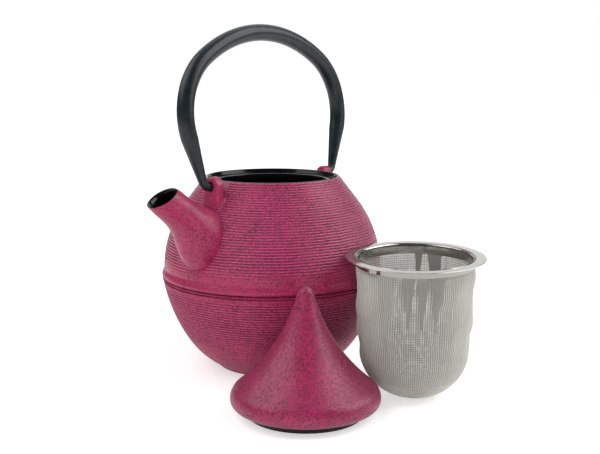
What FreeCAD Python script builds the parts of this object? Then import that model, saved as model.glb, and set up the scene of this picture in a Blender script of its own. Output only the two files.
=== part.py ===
import FreeCAD, Part
import math
import os
import Sketcher

# A cast iron teapot of about 1.2 litres: a ribbed pot with spout and two ears, a bail handle
# hooked through the ears, a bell-shaped lid standing on its ring and a woven tea infuser
# standing on its bottom.  Millimetres.  The origin is the centre of the pot's foot on the
# table, Z is up and the spout points along X.

# Pot casting
belly_radius = 78.8  # wall of the upper half just above the belt
belly_height = 72.2  # top of the belt's lip
mouth_radius = 48.6  # outer edge of the mouth
mouth_height = 138.8  # top of the mouth above the table
shoulder_fullness = 1.53  # shoulder's slope at the mouth over its mean, 1 straight, 2 round
belt_lip = 5.2  # height of the lip that closes the upper half
belt_bulge = 1.5  # how far the lip stands out of the wall
belt_groove = 0.9  # height of the line under the lip
bowl_standout = 1.1  # top of the lower half, outside the upper wall
bowl_slope = 9.3  # lean of the lower wall at the belt, degrees
heel_slope = 33.3  # lean of the lower wall where it turns under, degrees
foot_slope = 59.5  # lean of the lower wall at the foot, degrees
heel_height = 21.8  # height where the lower wall turns under
foot_height = 3.0  # height of the foot ring
foot_step = 1.6  # foot ring set in from the wall
foot_ring_width = 6.5  # width of the foot ring
foot_recess = 2.2  # hollow of the underside inside the foot ring
wall = 3.3  # thickness of the casting
floor_thickness = 5.5  # thickness of the pot's floor
seat_depth = 3.0  # depth of the step that carries the infuser's flange
throat_height = 3.4  # straight part of the mouth under the step
enamel = 0.35  # thickness of the enamel coat

# Spout, given as sections from the tip to the root
spout_reach = 28.4  # tip beyond the belly wall
spout_tip_drop = 5.5  # tip under the mouth
spout_tip_tilt = 62.0  # direction that the opening faces, degrees above level
spout_tip_half_width = 9.3  # half width of the opening's outer edge
spout_tip_longer = 2.5  # half length of the opening over its half width
spout_neck_reach = 18.8  # neck section beyond the belly wall
spout_neck_drop = 12.9  # neck section under the mouth
spout_neck_tilt = 35.0  # direction of the neck, degrees above level
spout_neck_half_width = 10.7  # half width of the neck
spout_neck_longer = 0.8  # half height of the neck over its half width
spout_mid_reach = 7.3  # middle section beyond the belly wall
spout_mid_drop = 22.4  # middle section under the mouth
spout_mid_tilt = 40.0  # direction of the middle, degrees above level
spout_mid_half_width = 12.9  # half width of the middle
spout_mid_longer = 0.4  # half height of the middle over its half width
spout_root_inset = 6.6  # root section inside the belly wall
spout_root_drop = 37.3  # root section under the mouth
spout_root_tilt = 26.0  # direction of the root, degrees above level
spout_root_half_width = 16.6  # half width of the root
spout_root_longer = 4.8  # half height of the root over its half width
spout_base_depth = 11.0  # length of the spout's end inside the pot's wall
spout_wall = 2.9  # thickness of the spout's wall

# Ears and bail handle
ear_setback = 9.2  # ears outside the mouth's edge
ear_thickness = 6.4  # thickness of an ear along the hinge line
hinge_drop = 2.3  # hinge line under the mouth
ear_top_radius = 6.1  # round top of an ear
ear_foot_half_width = 7.4  # half width of an ear at its foot
ear_depth = 24.0  # hinge line above the end of the ear inside the wall
hook_radius = 3.0  # radius of the handle's hooked ends
hook_play = 0.3  # play of a hook in its ear
hook_room = 0.45  # straight hook outside the ear before the bend
hook_inside = 0.6  # hook past the inner face of the ear
hook_bend = 6.0  # bend between hook and leg
leg_angle = 17.3  # lean of the legs, degrees
bail_radius = 5.85  # radius of the handle's bar
bail_side_arc = 47.0  # bend of the handle's sides
bail_widest = 47.0  # widest place above the hinge line
bail_crown_lift = 10.2  # crown above the top of the side bends
bail_lean = 4.6  # lean of the standing handle, degrees

# Infuser
cup_radius = 38.7  # outside of the woven cup at its top
cup_taper = 2.4  # cup narrower at its corner than at its top
cup_corner = 33.0  # round corner between wall and bottom
mesh_thickness = 0.5  # two layers of wire
rim_height = 94.1  # top of the flange above the table
rim_sheet = 0.6  # sheet of the flange, collar and clamp ring
flange_radius = 46.2  # edge of the flange
collar_depth = 5.2  # collar under the top of the flange
clamp_depth = 7.2  # clamp ring under the top of the flange
mesh_tuck = 1.1  # top of the mesh under the top of the flange
sheet_gap = 0.05  # clearance between the mesh and the rings that hold it
windows_around = 24  # windows of the cup's wall, an even number around
window_rows = 6  # rows of windows between the round corner and the clamp ring
window_bar = 3.0  # wall left between two windows

# Lid
lid_overhang = -0.8  # lid's brim beyond the mouth's edge
lid_height = 82.0  # top of the lid above its ring
lid_brim_height = 10.8  # widest line of the brim above the ring's end
lid_under_height = 5.0  # underside of the brim above the ring's end
lid_brim_arc = 10.3  # round shoulder above the brim
lid_flare_arc = 113.0  # hollow curve of the lid's side
lid_tip_radius = 5.3  # round top of the lid
lid_wall = 3.0  # thickness of the lid
lid_ring_wall = 4.0  # thickness of the locating ring
lid_hollow_drop = 16.0  # top of the hollow under the top of the lid
lid_bare_foot = 0.6  # bare iron at the end of the ring

# Clearances between the pieces and where the lid and the infuser stand
seat_clearance = 0.5  # flange in its step
throat_clearance = 0.3  # collar in the enamelled throat
ring_clearance = 0.45  # lid's ring in the infuser's opening
lid_tuck = 12.0  # brim standing in under the belly
lid_bearing = 51.5  # direction of the lid from the pot, degrees from the spout
infuser_gap = 0.6  # infuser to the pot, the nearer of its cup and its flange
infuser_tuck = 5.4  # lid's brim standing in under the round corner of the cup

# The sheet holds each size above under its own name, and the sizes that follow from them
doc = FreeCAD.newDocument("teapot")
sheet = doc.addObject("Spreadsheet::Sheet", "sizes")
driving = [(name, value) for name, value in globals().items() if isinstance(value, (int, float))]
ROW = [0]


def put(name, content):
    """Write one named size, or one formula of named sizes, into the sheet."""
    ROW[0] += 1
    sheet.set("A%d" % ROW[0], name)
    sheet.set("B%d" % ROW[0], content)
    sheet.setAlias("B%d" % ROW[0], name)


def work_out(name, formula):
    put(name, "=" + formula)


for name, value in driving:
    put(name, repr(value))

# Infuser rings, throat and seat
work_out("cup_top", "rim_height - mesh_tuck")
work_out("collar_inner", "cup_radius + sheet_gap")
work_out("collar_outer", "collar_inner + rim_sheet")
work_out("collar_foot", "rim_height - collar_depth")
work_out("flange_under", "rim_height - rim_sheet")
work_out("clamp_outer", "cup_radius - mesh_thickness - sheet_gap")
work_out("clamp_inner", "clamp_outer - rim_sheet")
work_out("clamp_foot", "rim_height - clamp_depth")
work_out("clamp_height", "clamp_depth - rim_sheet / 2")
work_out("throat_radius", "collar_outer + throat_clearance + enamel")
work_out("seat_radius", "flange_radius + seat_clearance")
work_out("seat_height", "mouth_height - seat_depth")
work_out("throat_foot", "seat_height - throat_height")

# Upper half: an arc from the belt, then a straight slope to the mouth
work_out("mean_slope", "atan2(belly_radius - mouth_radius; mouth_height - belly_height) / 1 deg")
work_out("shoulder_turn", "shoulder_fullness * mean_slope")
work_out("shoulder_rise", "sin(shoulder_turn) * (mouth_height - belly_height)")
work_out("shoulder_run", "cos(shoulder_turn) * (belly_radius - mouth_radius)")
work_out("shoulder_arc", "(shoulder_rise - shoulder_run) / (1 - cos(shoulder_turn))")
work_out("shoulder_centre", "belly_radius - shoulder_arc")
work_out("shoulder_end_r", "shoulder_centre + shoulder_arc * cos(shoulder_turn)")
work_out("shoulder_end_z", "belly_height + shoulder_arc * sin(shoulder_turn)")

# Belt and lower half: two arcs from the belt to the foot
work_out("belt_foot", "belly_height - belt_lip")
work_out("belt_arc", "(belt_lip * belt_lip / 4 + belt_bulge * belt_bulge) / (2 * belt_bulge)")
work_out("bowl_top_radius", "belly_radius + bowl_standout")
work_out("bowl_top", "belt_foot - belt_groove")
work_out("bowl_arc", "(bowl_top - heel_height) / (sin(heel_slope) - sin(bowl_slope))")
work_out("bowl_centre_r", "bowl_top_radius - bowl_arc * cos(bowl_slope)")
work_out("bowl_centre_z", "bowl_top + bowl_arc * sin(bowl_slope)")
work_out("heel_radius", "bowl_centre_r + bowl_arc * cos(heel_slope)")
work_out("heel_arc", "(heel_height - foot_height) / (sin(foot_slope) - sin(heel_slope))")
work_out("heel_centre_r", "heel_radius - heel_arc * cos(heel_slope)")
work_out("heel_centre_z", "heel_height + heel_arc * sin(heel_slope)")
work_out("heel_end_r", "heel_centre_r + heel_arc * cos(foot_slope)")
work_out("foot_radius", "heel_end_r - foot_step")
work_out("foot_inner", "foot_radius - foot_ring_width")

# Inside of the pot: the bare casting, and the face of its enamel
for tag, depth in (("iron", "wall"), ("face", "(wall + enamel)")):
    coat = "0" if tag == "iron" else "enamel"
    work_out("floor_" + tag, "foot_recess + floor_thickness + " + coat)
    work_out("heel_arc_" + tag, "heel_arc - " + depth)
    work_out("bowl_arc_" + tag, "bowl_arc - " + depth)
    work_out("shoulder_arc_" + tag, "shoulder_arc - " + depth)
    work_out("floor_edge_drop_" + tag, "heel_centre_z - floor_" + tag)
    reach = "sqrt(heel_arc_%s * heel_arc_%s - floor_edge_drop_%s * floor_edge_drop_%s)"
    work_out("floor_edge_" + tag, "heel_centre_r + " + reach % (tag, tag, tag, tag))
    work_out("heel_r_" + tag, "bowl_centre_r + bowl_arc_%s * cos(heel_slope)" % tag)
    work_out("heel_z_" + tag, "bowl_centre_z - bowl_arc_%s * sin(heel_slope)" % tag)
    work_out("bowl_r_" + tag, "bowl_centre_r + bowl_arc_%s * cos(bowl_slope)" % tag)
    work_out("bowl_z_" + tag, "bowl_centre_z - bowl_arc_%s * sin(bowl_slope)" % tag)
    work_out("belly_r_" + tag, "belly_radius - " + depth)
    work_out("shoulder_r_" + tag, "shoulder_centre + shoulder_arc_%s * cos(shoulder_turn)" % tag)
    work_out("shoulder_z_" + tag, "belly_height + shoulder_arc_%s * sin(shoulder_turn)" % tag)
    work_out("throat_r_" + tag, "throat_radius - " + coat)
    work_out("throat_z_" + tag, "throat_foot - " + coat)
work_out("mouth_clear", "mouth_height + 1")

# Spout sections
for part, out, drop in (("tip", "spout_reach", "spout_tip_drop"),
                        ("neck", "spout_neck_reach", "spout_neck_drop"),
                        ("mid", "spout_mid_reach", "spout_mid_drop"),
                        ("root", "-spout_root_inset", "spout_root_drop")):
    work_out("spout_%s_x" % part, "belly_radius + " + out)
    work_out("spout_%s_z" % part, "mouth_height - " + drop)
    work_out("spout_%s_turn" % part, "90 - spout_%s_tilt" % part)
    work_out("spout_%s_half_length" % part, "spout_%s_half_width + spout_%s_longer" % (part, part))
work_out("spout_base_x", "spout_root_x - spout_base_depth * cos(spout_root_tilt)")
work_out("spout_base_z", "spout_root_z - spout_base_depth * sin(spout_root_tilt)")
work_out("spout_base_turn", "spout_root_turn")
work_out("spout_base_half_width", "spout_root_half_width")
work_out("spout_base_half_length", "spout_root_half_length")
for part in ("tip", "neck", "mid", "root", "base"):
    for tag, depth in (("spout", "0"), ("bore_iron", "spout_wall"), ("bore_face", "(spout_wall + enamel)")):
        name = "%s_%s_" % (tag, part)
        work_out(name + "across", "spout_%s_half_width - %s" % (part, depth))
        work_out(name + "along", "spout_%s_half_length - %s" % (part, depth))
        # An oval of four arcs: small ones at its ends, large ones along its sides
        work_out(name + "end", "{0}across * (0.4 + 0.6 * {0}across / {0}along)".format(name))
        work_out(name + "past", "{0}along - {0}end".format(name))
        square = "({0}past * {0}past + {0}across * {0}across - {0}end * {0}end)"
        work_out(name + "side", (square + " / (2 * ({0}across - {0}end))").format(name))
        work_out(name + "share", "{0}end / ({0}side - {0}end)".format(name))
        work_out(name + "join_x", "{0}past * (1 + {0}share)".format(name))
        work_out(name + "join_y", "({0}side - {0}across) * {0}share".format(name))

# Ears and handle, the handle's heights counted from the hinge line
work_out("hinge_height", "mouth_height - hinge_drop")
work_out("ear_inner", "mouth_radius + ear_setback")
work_out("ear_outer", "ear_inner + ear_thickness")
work_out("ear_foot", "hinge_height - ear_depth")
work_out("ear_side", "atan2(-ear_depth; ear_foot_half_width) / 1 deg")
work_out("ear_side_length", "sqrt(ear_depth * ear_depth + ear_foot_half_width * ear_foot_half_width)")
work_out("ear_touch", "ear_side + acos(ear_top_radius / ear_side_length) / 1 deg")
work_out("ear_touch_y", "ear_top_radius * cos(ear_touch)")
work_out("ear_touch_z", "hinge_height + ear_top_radius * sin(ear_touch)")
work_out("eye_radius", "hook_radius + hook_play")
work_out("eye_length", "ear_thickness + 2 * hook_bend")
work_out("eye_start", "ear_inner - hook_bend")
work_out("hook_start", "ear_inner - hook_inside")
work_out("hook_end", "ear_outer + hook_room")
work_out("hook_corner", "hook_bend / tan((90 + leg_angle) / 2)")
work_out("leg_foot", "hook_end + hook_corner")
work_out("leg_start_x", "leg_foot + hook_corner * sin(leg_angle)")
work_out("leg_start_z", "hook_corner * cos(leg_angle)")
work_out("leg_end_z", "bail_widest - bail_side_arc * sin(leg_angle)")
work_out("leg_end_x", "leg_foot + leg_end_z * tan(leg_angle)")
work_out("bail_side_x", "leg_end_x - bail_side_arc * cos(leg_angle)")
work_out("bail_rise", "bail_widest + bail_side_arc + bail_crown_lift")
work_out("crown_height", "bail_side_arc + bail_crown_lift")
work_out("crown_square", "bail_side_x * bail_side_x + crown_height * crown_height")
work_out("crown_arc", "(crown_square - bail_side_arc * bail_side_arc) / (2 * bail_crown_lift)")
work_out("crown_turn", "atan2(bail_side_x; bail_widest - bail_rise + crown_arc) / 1 deg")
work_out("crown_end_x", "crown_arc * sin(crown_turn)")
work_out("crown_end_z", "bail_rise - crown_arc * (1 - cos(crown_turn))")

# Infuser cup
work_out("cup_shoulder", "clamp_foot - rim_sheet")
work_out("cup_low", "cup_radius - cup_taper")
work_out("cup_flat", "cup_low - cup_corner")
work_out("cup_radius_in", "cup_radius - mesh_thickness")
work_out("cup_low_in", "cup_low - mesh_thickness")
work_out("cup_corner_in", "cup_corner - mesh_thickness")
work_out("window_pitch", "(clamp_foot - cup_corner - window_bar) / window_rows")
work_out("window_tall", "window_pitch - window_bar")
work_out("window_wide", "2 * pi * cup_low / windows_around - window_bar")
work_out("window_right", "window_wide / 2")
work_out("window_cut", "2 * cup_radius + window_bar")
work_out("window_turn", "180 - 360 / windows_around")
work_out("windows_half", "windows_around / 2")
for row in range(window_rows):
    work_out("window_foot_%d" % row, "cup_corner + window_bar + %d * window_pitch" % row)
    work_out("window_head_%d" % row, "window_foot_%d + window_tall" % row)

# Lid: round brim, hollow flare and round top, each tangent to the next
work_out("lid_radius", "mouth_radius + lid_overhang")
work_out("lid_lip_arc", "lid_brim_height - lid_under_height")
work_out("lid_under_r", "lid_radius - lid_lip_arc")
work_out("brim_centre", "lid_radius - lid_brim_arc")
work_out("tip_centre", "lid_height - lid_tip_radius")
work_out("tip_over_brim", "tip_centre - lid_brim_height")
work_out("brim_to_tip", "sqrt(brim_centre * brim_centre + tip_over_brim * tip_over_brim)")
work_out("brim_to_flare", "lid_brim_arc + lid_flare_arc")
work_out("tip_to_flare", "lid_tip_radius + lid_flare_arc")
work_out("flare_square", "brim_to_flare * brim_to_flare + brim_to_tip * brim_to_tip")
work_out("flare_cosine", "(flare_square - tip_to_flare * tip_to_flare) / (2 * brim_to_flare * brim_to_tip)")
work_out("flare_turn", "atan2(tip_over_brim; -brim_centre) / 1 deg - acos(flare_cosine) / 1 deg")
work_out("flare_r", "brim_centre + brim_to_flare * cos(flare_turn)")
work_out("flare_z", "lid_brim_height + brim_to_flare * sin(flare_turn)")
work_out("brim_end_r", "brim_centre + lid_brim_arc * cos(flare_turn)")
work_out("brim_end_z", "lid_brim_height + lid_brim_arc * sin(flare_turn)")
work_out("tip_turn", "atan2(flare_z - tip_centre; flare_r) / 1 deg")
work_out("tip_start_r", "lid_tip_radius * cos(tip_turn)")
work_out("tip_start_z", "tip_centre + lid_tip_radius * sin(tip_turn)")
work_out("lid_ring_radius", "clamp_inner - ring_clearance")
for tag, depth in (("iron", "0"), ("face", "enamel")):
    work_out("lid_ring_r_" + tag, "lid_ring_radius - lid_ring_wall - " + depth)
    work_out("lid_hollow_arc_" + tag, "lid_flare_arc + lid_wall + " + depth)
    work_out("lid_hollow_top_" + tag, "lid_height - lid_hollow_drop - " + depth)
    work_out("hollow_side_" + tag, "flare_r - lid_ring_r_" + tag)
    work_out("hollow_drop_" + tag, "flare_z - lid_hollow_top_" + tag)
    root = "sqrt(lid_hollow_arc_%s * lid_hollow_arc_%s - " % (tag, tag)
    work_out("lid_hollow_z_" + tag, "flare_z - %shollow_side_%s * hollow_side_%s)" % (root, tag, tag))
    work_out("lid_hollow_r_" + tag, "flare_r - %shollow_drop_%s * hollow_drop_%s)" % (root, tag, tag))

# Standing places: the lid under the belly's edge, the infuser beside both
work_out("lid_distance", "bowl_top_radius + lid_radius - lid_tuck")
work_out("lid_x", "lid_distance * cos(lid_bearing)")
work_out("lid_y", "lid_distance * sin(lid_bearing)")
work_out("rim_over_belly", "rim_height - belly_height")
work_out("wall_reach", "sqrt(shoulder_arc * shoulder_arc - rim_over_belly * rim_over_belly)")
work_out("cup_beside_pot", "belly_radius + belt_bulge + cup_radius")
work_out("flange_beside_pot", "shoulder_centre + wall_reach + flange_radius")
work_out("infuser_distance", "max(cup_beside_pot; flange_beside_pot) + infuser_gap")
work_out("stand_apart", "lid_radius + cup_radius - infuser_tuck")
work_out("stand_square", "lid_distance * lid_distance + infuser_distance * infuser_distance")
work_out("stand_cosine", "(stand_square - stand_apart * stand_apart) / (2 * lid_distance * infuser_distance)")
work_out("infuser_bearing", "lid_bearing + acos(stand_cosine) / 1 deg")
work_out("infuser_x", "infuser_distance * cos(infuser_bearing)")
work_out("infuser_y", "infuser_distance * sin(infuser_bearing)")
doc.recompute()


def val(name):
    got = sheet.get(name)
    return float(getattr(got, "Value", got))


def body_named(name):
    body = doc.addObject("PartDesign::Body", name)
    body.Label = name
    return body


def plane_of(body, role):
    return [item for item in body.Origin.OriginFeatures if item.Role == role][0]


def sketch_on(body, label, role="XZ_Plane"):
    sketch = body.newObject("Sketcher::SketchObject", label)
    sketch.AttachmentSupport = [(plane_of(body, role), "")]
    sketch.MapMode = "FlatFace"
    return sketch


def bind(sketch, kind, first, position, name, origin=True):
    """One dimension of the sketch, driven by a named size."""
    if origin:
        index = sketch.addConstraint(Sketcher.Constraint(kind, -1, 1, first, position, val(name)))
    else:
        index = sketch.addConstraint(Sketcher.Constraint(kind, first, val(name)))
    sketch.setExpression("Constraints[%d]" % index, "sizes." + name)


def arc_between(start, end, radius, side):
    """Short arc from start to end: side 1 turns left, side -1 turns right."""
    chord = end - start
    middle = (start + end) * 0.5
    left = FreeCAD.Vector(-chord.y, chord.x, 0)
    left.normalize()
    reach = math.sqrt(max(radius * radius - chord.Length * chord.Length / 4, 0.0))
    centre = middle + left * (reach * side)
    circle = Part.Circle(centre, FreeCAD.Vector(0, 0, 1), radius)
    from_angle = math.atan2(start.y - centre.y, start.x - centre.x)
    to_angle = math.atan2(end.y - centre.y, end.x - centre.x)
    if side > 0:
        return Part.ArcOfCircle(circle, from_angle, to_angle), 1, 2
    return Part.ArcOfCircle(circle, to_angle, from_angle), 2, 1


def outline(sketch, corners, bends=None, closed=True):
    """Chain of lines and arcs through named corners; bends gives an arc's radius and side."""
    bends = bends or {}
    places = [FreeCAD.Vector(val(x) if x else 0, val(y) if y else 0, 0) for x, y in corners]
    count = len(corners) if closed else len(corners) - 1
    ends = []
    for number in range(count):
        start = places[number]
        end = places[(number + 1) % len(corners)]
        if number in bends:
            radius, side = bends[number]
            curve, first, last = arc_between(start, end, val(radius), side)
            index = sketch.addGeometry(curve, False)
            bind(sketch, "Radius", index, 0, radius, origin=False)
        else:
            index = sketch.addGeometry(Part.LineSegment(start, end), False)
            first, last = 1, 2
        ends.append((index, first, last))
    for number in range(count if closed else count - 1):
        here = ends[number]
        following = ends[(number + 1) % count]
        sketch.addConstraint(Sketcher.Constraint("Coincident", here[0], here[2], following[0], following[1]))
    for number, (x, y) in enumerate(corners):
        if number < count:
            index, position = ends[number][0], ends[number][1]
        else:
            index, position = ends[-1][0], ends[-1][2]
        if x:
            bind(sketch, "DistanceX", index, position, x)
        else:
            sketch.addConstraint(Sketcher.Constraint("PointOnObject", index, position, -2))
        if y:
            bind(sketch, "DistanceY", index, position, y)
        else:
            sketch.addConstraint(Sketcher.Constraint("PointOnObject", index, position, -1))
    doc.recompute()
    return sketch


def turned(body, label, sketch, kind="PartDesign::Revolution"):
    feature = body.newObject(kind, label)
    feature.Profile = sketch
    feature.ReferenceAxis = (sketch, ["V_Axis"])
    feature.Angle = 360.0
    doc.recompute()
    return feature


def disc_sketch(body, label, role, radius, height=None):
    """A circle on an origin plane, lifted by the named height."""
    sketch = sketch_on(body, label, role)
    middle = FreeCAD.Vector(0, 0, 0)
    index = sketch.addGeometry(Part.Circle(middle, FreeCAD.Vector(0, 0, 1), val(radius)), False)
    bind(sketch, "Radius", index, 0, radius, origin=False)
    sketch.addConstraint(Sketcher.Constraint("Coincident", index, 3, -1, 1))
    if height:
        sketch.setExpression("AttachmentOffset.Base.z", "sizes." + height)
    doc.recompute()
    return sketch


def slant(sketch, x, z, turn):
    """Stand a sketch of the XY plane at a place of the XZ plane, turned about Y."""
    axis = FreeCAD.Rotation(FreeCAD.Vector(0, 1, 0), val(turn))
    sketch.AttachmentOffset = FreeCAD.Placement(FreeCAD.Vector(val(x), 0, val(z)), axis)
    sketch.setExpression("AttachmentOffset.Base.x", "sizes." + x)
    sketch.setExpression("AttachmentOffset.Base.z", "sizes." + z)
    sketch.setExpression("AttachmentOffset.Rotation.Angle", "sizes." + turn)


def oval_sketch(body, label, x, z, turn, name):
    """An oval section of the spout, its long axis in the plane of the spout."""
    sketch = sketch_on(body, label, "XY_Plane")
    slant(sketch, x, z, turn)
    across = val(name + "join_x")
    up = val(name + "join_y")
    corners = [FreeCAD.Vector(a * across, b * up, 0) for a, b in ((1, -1), (1, 1), (-1, 1), (-1, -1))]
    for number in range(4):
        radius = name + ("side" if number % 2 else "end")
        curve = arc_between(corners[number], corners[(number + 1) % 4], val(radius), 1)[0]
        bind(sketch, "Radius", sketch.addGeometry(curve, False), 0, radius, origin=False)
    for number in range(4):
        sketch.addConstraint(Sketcher.Constraint("Coincident", number, 2, (number + 1) % 4, 1))
    sketch.addConstraint(Sketcher.Constraint("Symmetric", 0, 2, 1, 2, -2))
    sketch.addConstraint(Sketcher.Constraint("Symmetric", 0, 2, 0, 1, -1))
    sketch.addConstraint(Sketcher.Constraint("Symmetric", 2, 1, 2, 2, -1))
    bind(sketch, "DistanceX", 0, 2, name + "join_x")
    bind(sketch, "DistanceY", 0, 2, name + "join_y")
    doc.recompute()
    return sketch


SECTIONS = ("tip", "neck", "mid", "root", "base")


def spout_loft(body, label, kind, tag):
    """Loft through the spout's sections, from the tip into the pot."""
    ovals = []
    for part in SECTIONS:
        place = ["spout_%s_%s" % (part, axis) for axis in ("x", "z", "turn")]
        ovals.append(oval_sketch(body, label + "_" + part, *place, "%s_%s_" % (tag, part)))
    loft = body.newObject(kind, label)
    loft.Profile = ovals[0]
    loft.Sections = ovals[1:]
    doc.recompute()
    return loft


def pot_inside(body, label, tag, top):
    """Half section of the pot's hollow: bare iron or the face of its enamel."""
    corners = [(None, "floor_" + tag), ("floor_edge_" + tag, "floor_" + tag),
               ("heel_r_" + tag, "heel_z_" + tag), ("bowl_r_" + tag, "bowl_z_" + tag),
               ("belly_r_" + tag, "belly_height"), ("shoulder_r_" + tag, "shoulder_z_" + tag),
               ("throat_r_" + tag, "throat_z_" + tag)]
    if top == "seat":
        corners += [("throat_r_" + tag, "seat_height"), (None, "seat_height")]
    elif top == "open":
        corners += [("throat_r_" + tag, "mouth_clear"), (None, "mouth_clear")]
    else:
        corners += [("throat_r_" + tag, "seat_height"), ("seat_radius", "seat_height"),
                    ("seat_radius", "mouth_clear"), (None, "mouth_clear")]
    bends = {1: ("heel_arc_" + tag, 1), 2: ("bowl_arc_" + tag, 1), 4: ("shoulder_arc_" + tag, 1)}
    return outline(sketch_on(body, label), corners, bends)


# The pot: upper and lower halves cast in one with the spout and the two ears
pot = body_named("pot_body")
pot_profile = outline(sketch_on(pot, "pot_profile"), [
    (None, "foot_recess"), ("foot_inner", "foot_recess"), ("foot_inner", None), ("foot_radius", None),
    ("foot_radius", "foot_height"), ("heel_end_r", "foot_height"), ("heel_radius", "heel_height"),
    ("bowl_top_radius", "bowl_top"), ("belly_radius", "belt_foot"), ("belly_radius", "belly_height"),
    ("shoulder_end_r", "shoulder_end_z"), ("mouth_radius", "mouth_height"), (None, "mouth_height"),
], {5: ("heel_arc", 1), 6: ("bowl_arc", 1), 8: ("belt_arc", 1), 9: ("shoulder_arc", 1)})
turned(pot, "pot_turned", pot_profile)
spout_loft(pot, "spout", "PartDesign::AdditiveLoft", "spout")

ear_sketch = sketch_on(pot, "ear_profile", "YZ_Plane")
ear_sketch.setExpression("AttachmentOffset.Base.z", "sizes.ear_inner")
touch = FreeCAD.Vector(val("ear_touch_y"), val("ear_touch_z"), 0)
foot = FreeCAD.Vector(val("ear_foot_half_width"), val("ear_foot"), 0)
left_touch = FreeCAD.Vector(-touch.x, touch.y, 0)
left_foot = FreeCAD.Vector(-foot.x, foot.y, 0)
ear_middle = FreeCAD.Vector(0, val("hinge_height"), 0)
ear_top = Part.Circle(ear_middle, FreeCAD.Vector(0, 0, 1), val("ear_top_radius"))
ear_angle = math.radians(val("ear_touch"))
ear_sketch.addGeometry([Part.LineSegment(left_foot, foot), Part.LineSegment(foot, touch),
                        Part.ArcOfCircle(ear_top, ear_angle, math.pi - ear_angle),
                        Part.LineSegment(left_touch, left_foot)], False)
for first, second in (((0, 2), (1, 1)), ((1, 2), (2, 1)), ((2, 2), (3, 1)), ((3, 2), (0, 1))):
    ear_sketch.addConstraint(Sketcher.Constraint("Coincident", *first, *second))
ear_sketch.addConstraint(Sketcher.Constraint("Symmetric", 3, 2, 0, 2, -2))
ear_sketch.addConstraint(Sketcher.Constraint("Symmetric", 3, 1, 1, 2, -2))
bind(ear_sketch, "DistanceX", 0, 2, "ear_foot_half_width")
bind(ear_sketch, "DistanceY", 0, 2, "ear_foot")
bind(ear_sketch, "DistanceX", 1, 2, "ear_touch_y")
bind(ear_sketch, "DistanceY", 1, 2, "ear_touch_z")
bind(ear_sketch, "Radius", 2, 0, "ear_top_radius", origin=False)
doc.recompute()
ear = pot.newObject("PartDesign::Pad", "ear")
ear.Profile = ear_sketch
ear.setExpression("Length", "sizes.ear_thickness")
doc.recompute()
far_ear = pot.newObject("PartDesign::Mirrored", "far_ear")
far_ear.Originals = [ear]
far_ear.MirrorPlane = (plane_of(pot, "YZ_Plane"), [""])
pot.Tip = far_ear
doc.recompute()

turned(pot, "pot_hollow", pot_inside(pot, "pot_hollow_profile", "iron", "mouth"), "PartDesign::Groove")
spout_loft(pot, "spout_bore", "PartDesign::SubtractiveLoft", "bore_iron")

eye_sketch = disc_sketch(pot, "eye_profile", "YZ_Plane", "eye_radius", "eye_start")
eye_sketch.setExpression("AttachmentOffset.Base.y", "sizes.hinge_height")
eye = pot.newObject("PartDesign::Pocket", "eye")
eye.Profile = eye_sketch
eye.Reversed = True
eye.setExpression("Length", "sizes.eye_length")
doc.recompute()
far_eye = pot.newObject("PartDesign::Mirrored", "far_eye")
far_eye.Originals = [eye]
far_eye.MirrorPlane = (plane_of(pot, "YZ_Plane"), [""])
pot.Tip = far_eye
doc.recompute()

# The black enamel inside the pot and its spout
lining = body_named("pot_enamel_lining")
turned(lining, "lining_back", pot_inside(lining, "lining_back_profile", "iron", "seat"))
spout_loft(lining, "lining_spout", "PartDesign::AdditiveLoft", "bore_iron")
turned(lining, "lining_face", pot_inside(lining, "lining_face_profile", "face", "open"), "PartDesign::Groove")
spout_loft(lining, "lining_bore", "PartDesign::SubtractiveLoft", "bore_face")

# The bail handle: hooks, tapered legs and an even bar over the crown, drawn from the hinge line
bail = body_named("bail_handle")
hook_path = outline(sketch_on(bail, "hook_path"),
                    [("hook_start", None), ("hook_end", None), ("leg_start_x", "leg_start_z")],
                    {1: ("hook_bend", 1)}, closed=False)
hook_end = disc_sketch(bail, "hook_profile", "YZ_Plane", "hook_radius", "hook_start")
hook = bail.newObject("PartDesign::AdditivePipe", "hook")
hook.Profile = hook_end
hook.Spine = hook_path
doc.recompute()


def leg_circle(label, radius, x, z):
    sketch = disc_sketch(bail, label, "XY_Plane", radius)
    slant(sketch, x, z, "leg_angle")
    doc.recompute()
    return sketch


leg = bail.newObject("PartDesign::AdditiveLoft", "leg")
leg.Profile = leg_circle("leg_foot_profile", "hook_radius", "leg_start_x", "leg_start_z")
leg.Sections = [leg_circle("leg_top_profile", "bail_radius", "leg_end_x", "leg_end_z")]
leg.Ruled = True
doc.recompute()
bar_path = outline(sketch_on(bail, "bar_path"),
                   [(None, "bail_rise"), ("crown_end_x", "crown_end_z"), ("leg_end_x", "leg_end_z")],
                   {0: ("crown_arc", -1), 1: ("bail_side_arc", -1)}, closed=False)
bar_profile = disc_sketch(bail, "bar_profile", "YZ_Plane", "bail_radius")
bar_profile.setExpression("AttachmentOffset.Base.y", "sizes.bail_rise")
doc.recompute()
bar = bail.newObject("PartDesign::AdditivePipe", "bar")
bar.Profile = bar_profile
bar.Spine = bar_path
doc.recompute()
far_half = bail.newObject("PartDesign::Mirrored", "far_half")
far_half.Originals = [hook, leg, bar]
far_half.MirrorPlane = (plane_of(bail, "YZ_Plane"), [""])
bail.Tip = far_half
bail.Placement = FreeCAD.Placement(FreeCAD.Vector(0, 0, 0), FreeCAD.Rotation(FreeCAD.Vector(1, 0, 0), 1))
bail.setExpression("Placement.Base.z", "sizes.hinge_height")
bail.setExpression("Placement.Rotation.Angle", "sizes.bail_lean")
doc.recompute()


def stand(body, place):
    """Stand a body on the table at its own place."""
    body.setExpression("Placement.Base.x", "sizes.%s_x" % place)
    body.setExpression("Placement.Base.y", "sizes.%s_y" % place)
    doc.recompute()


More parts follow.
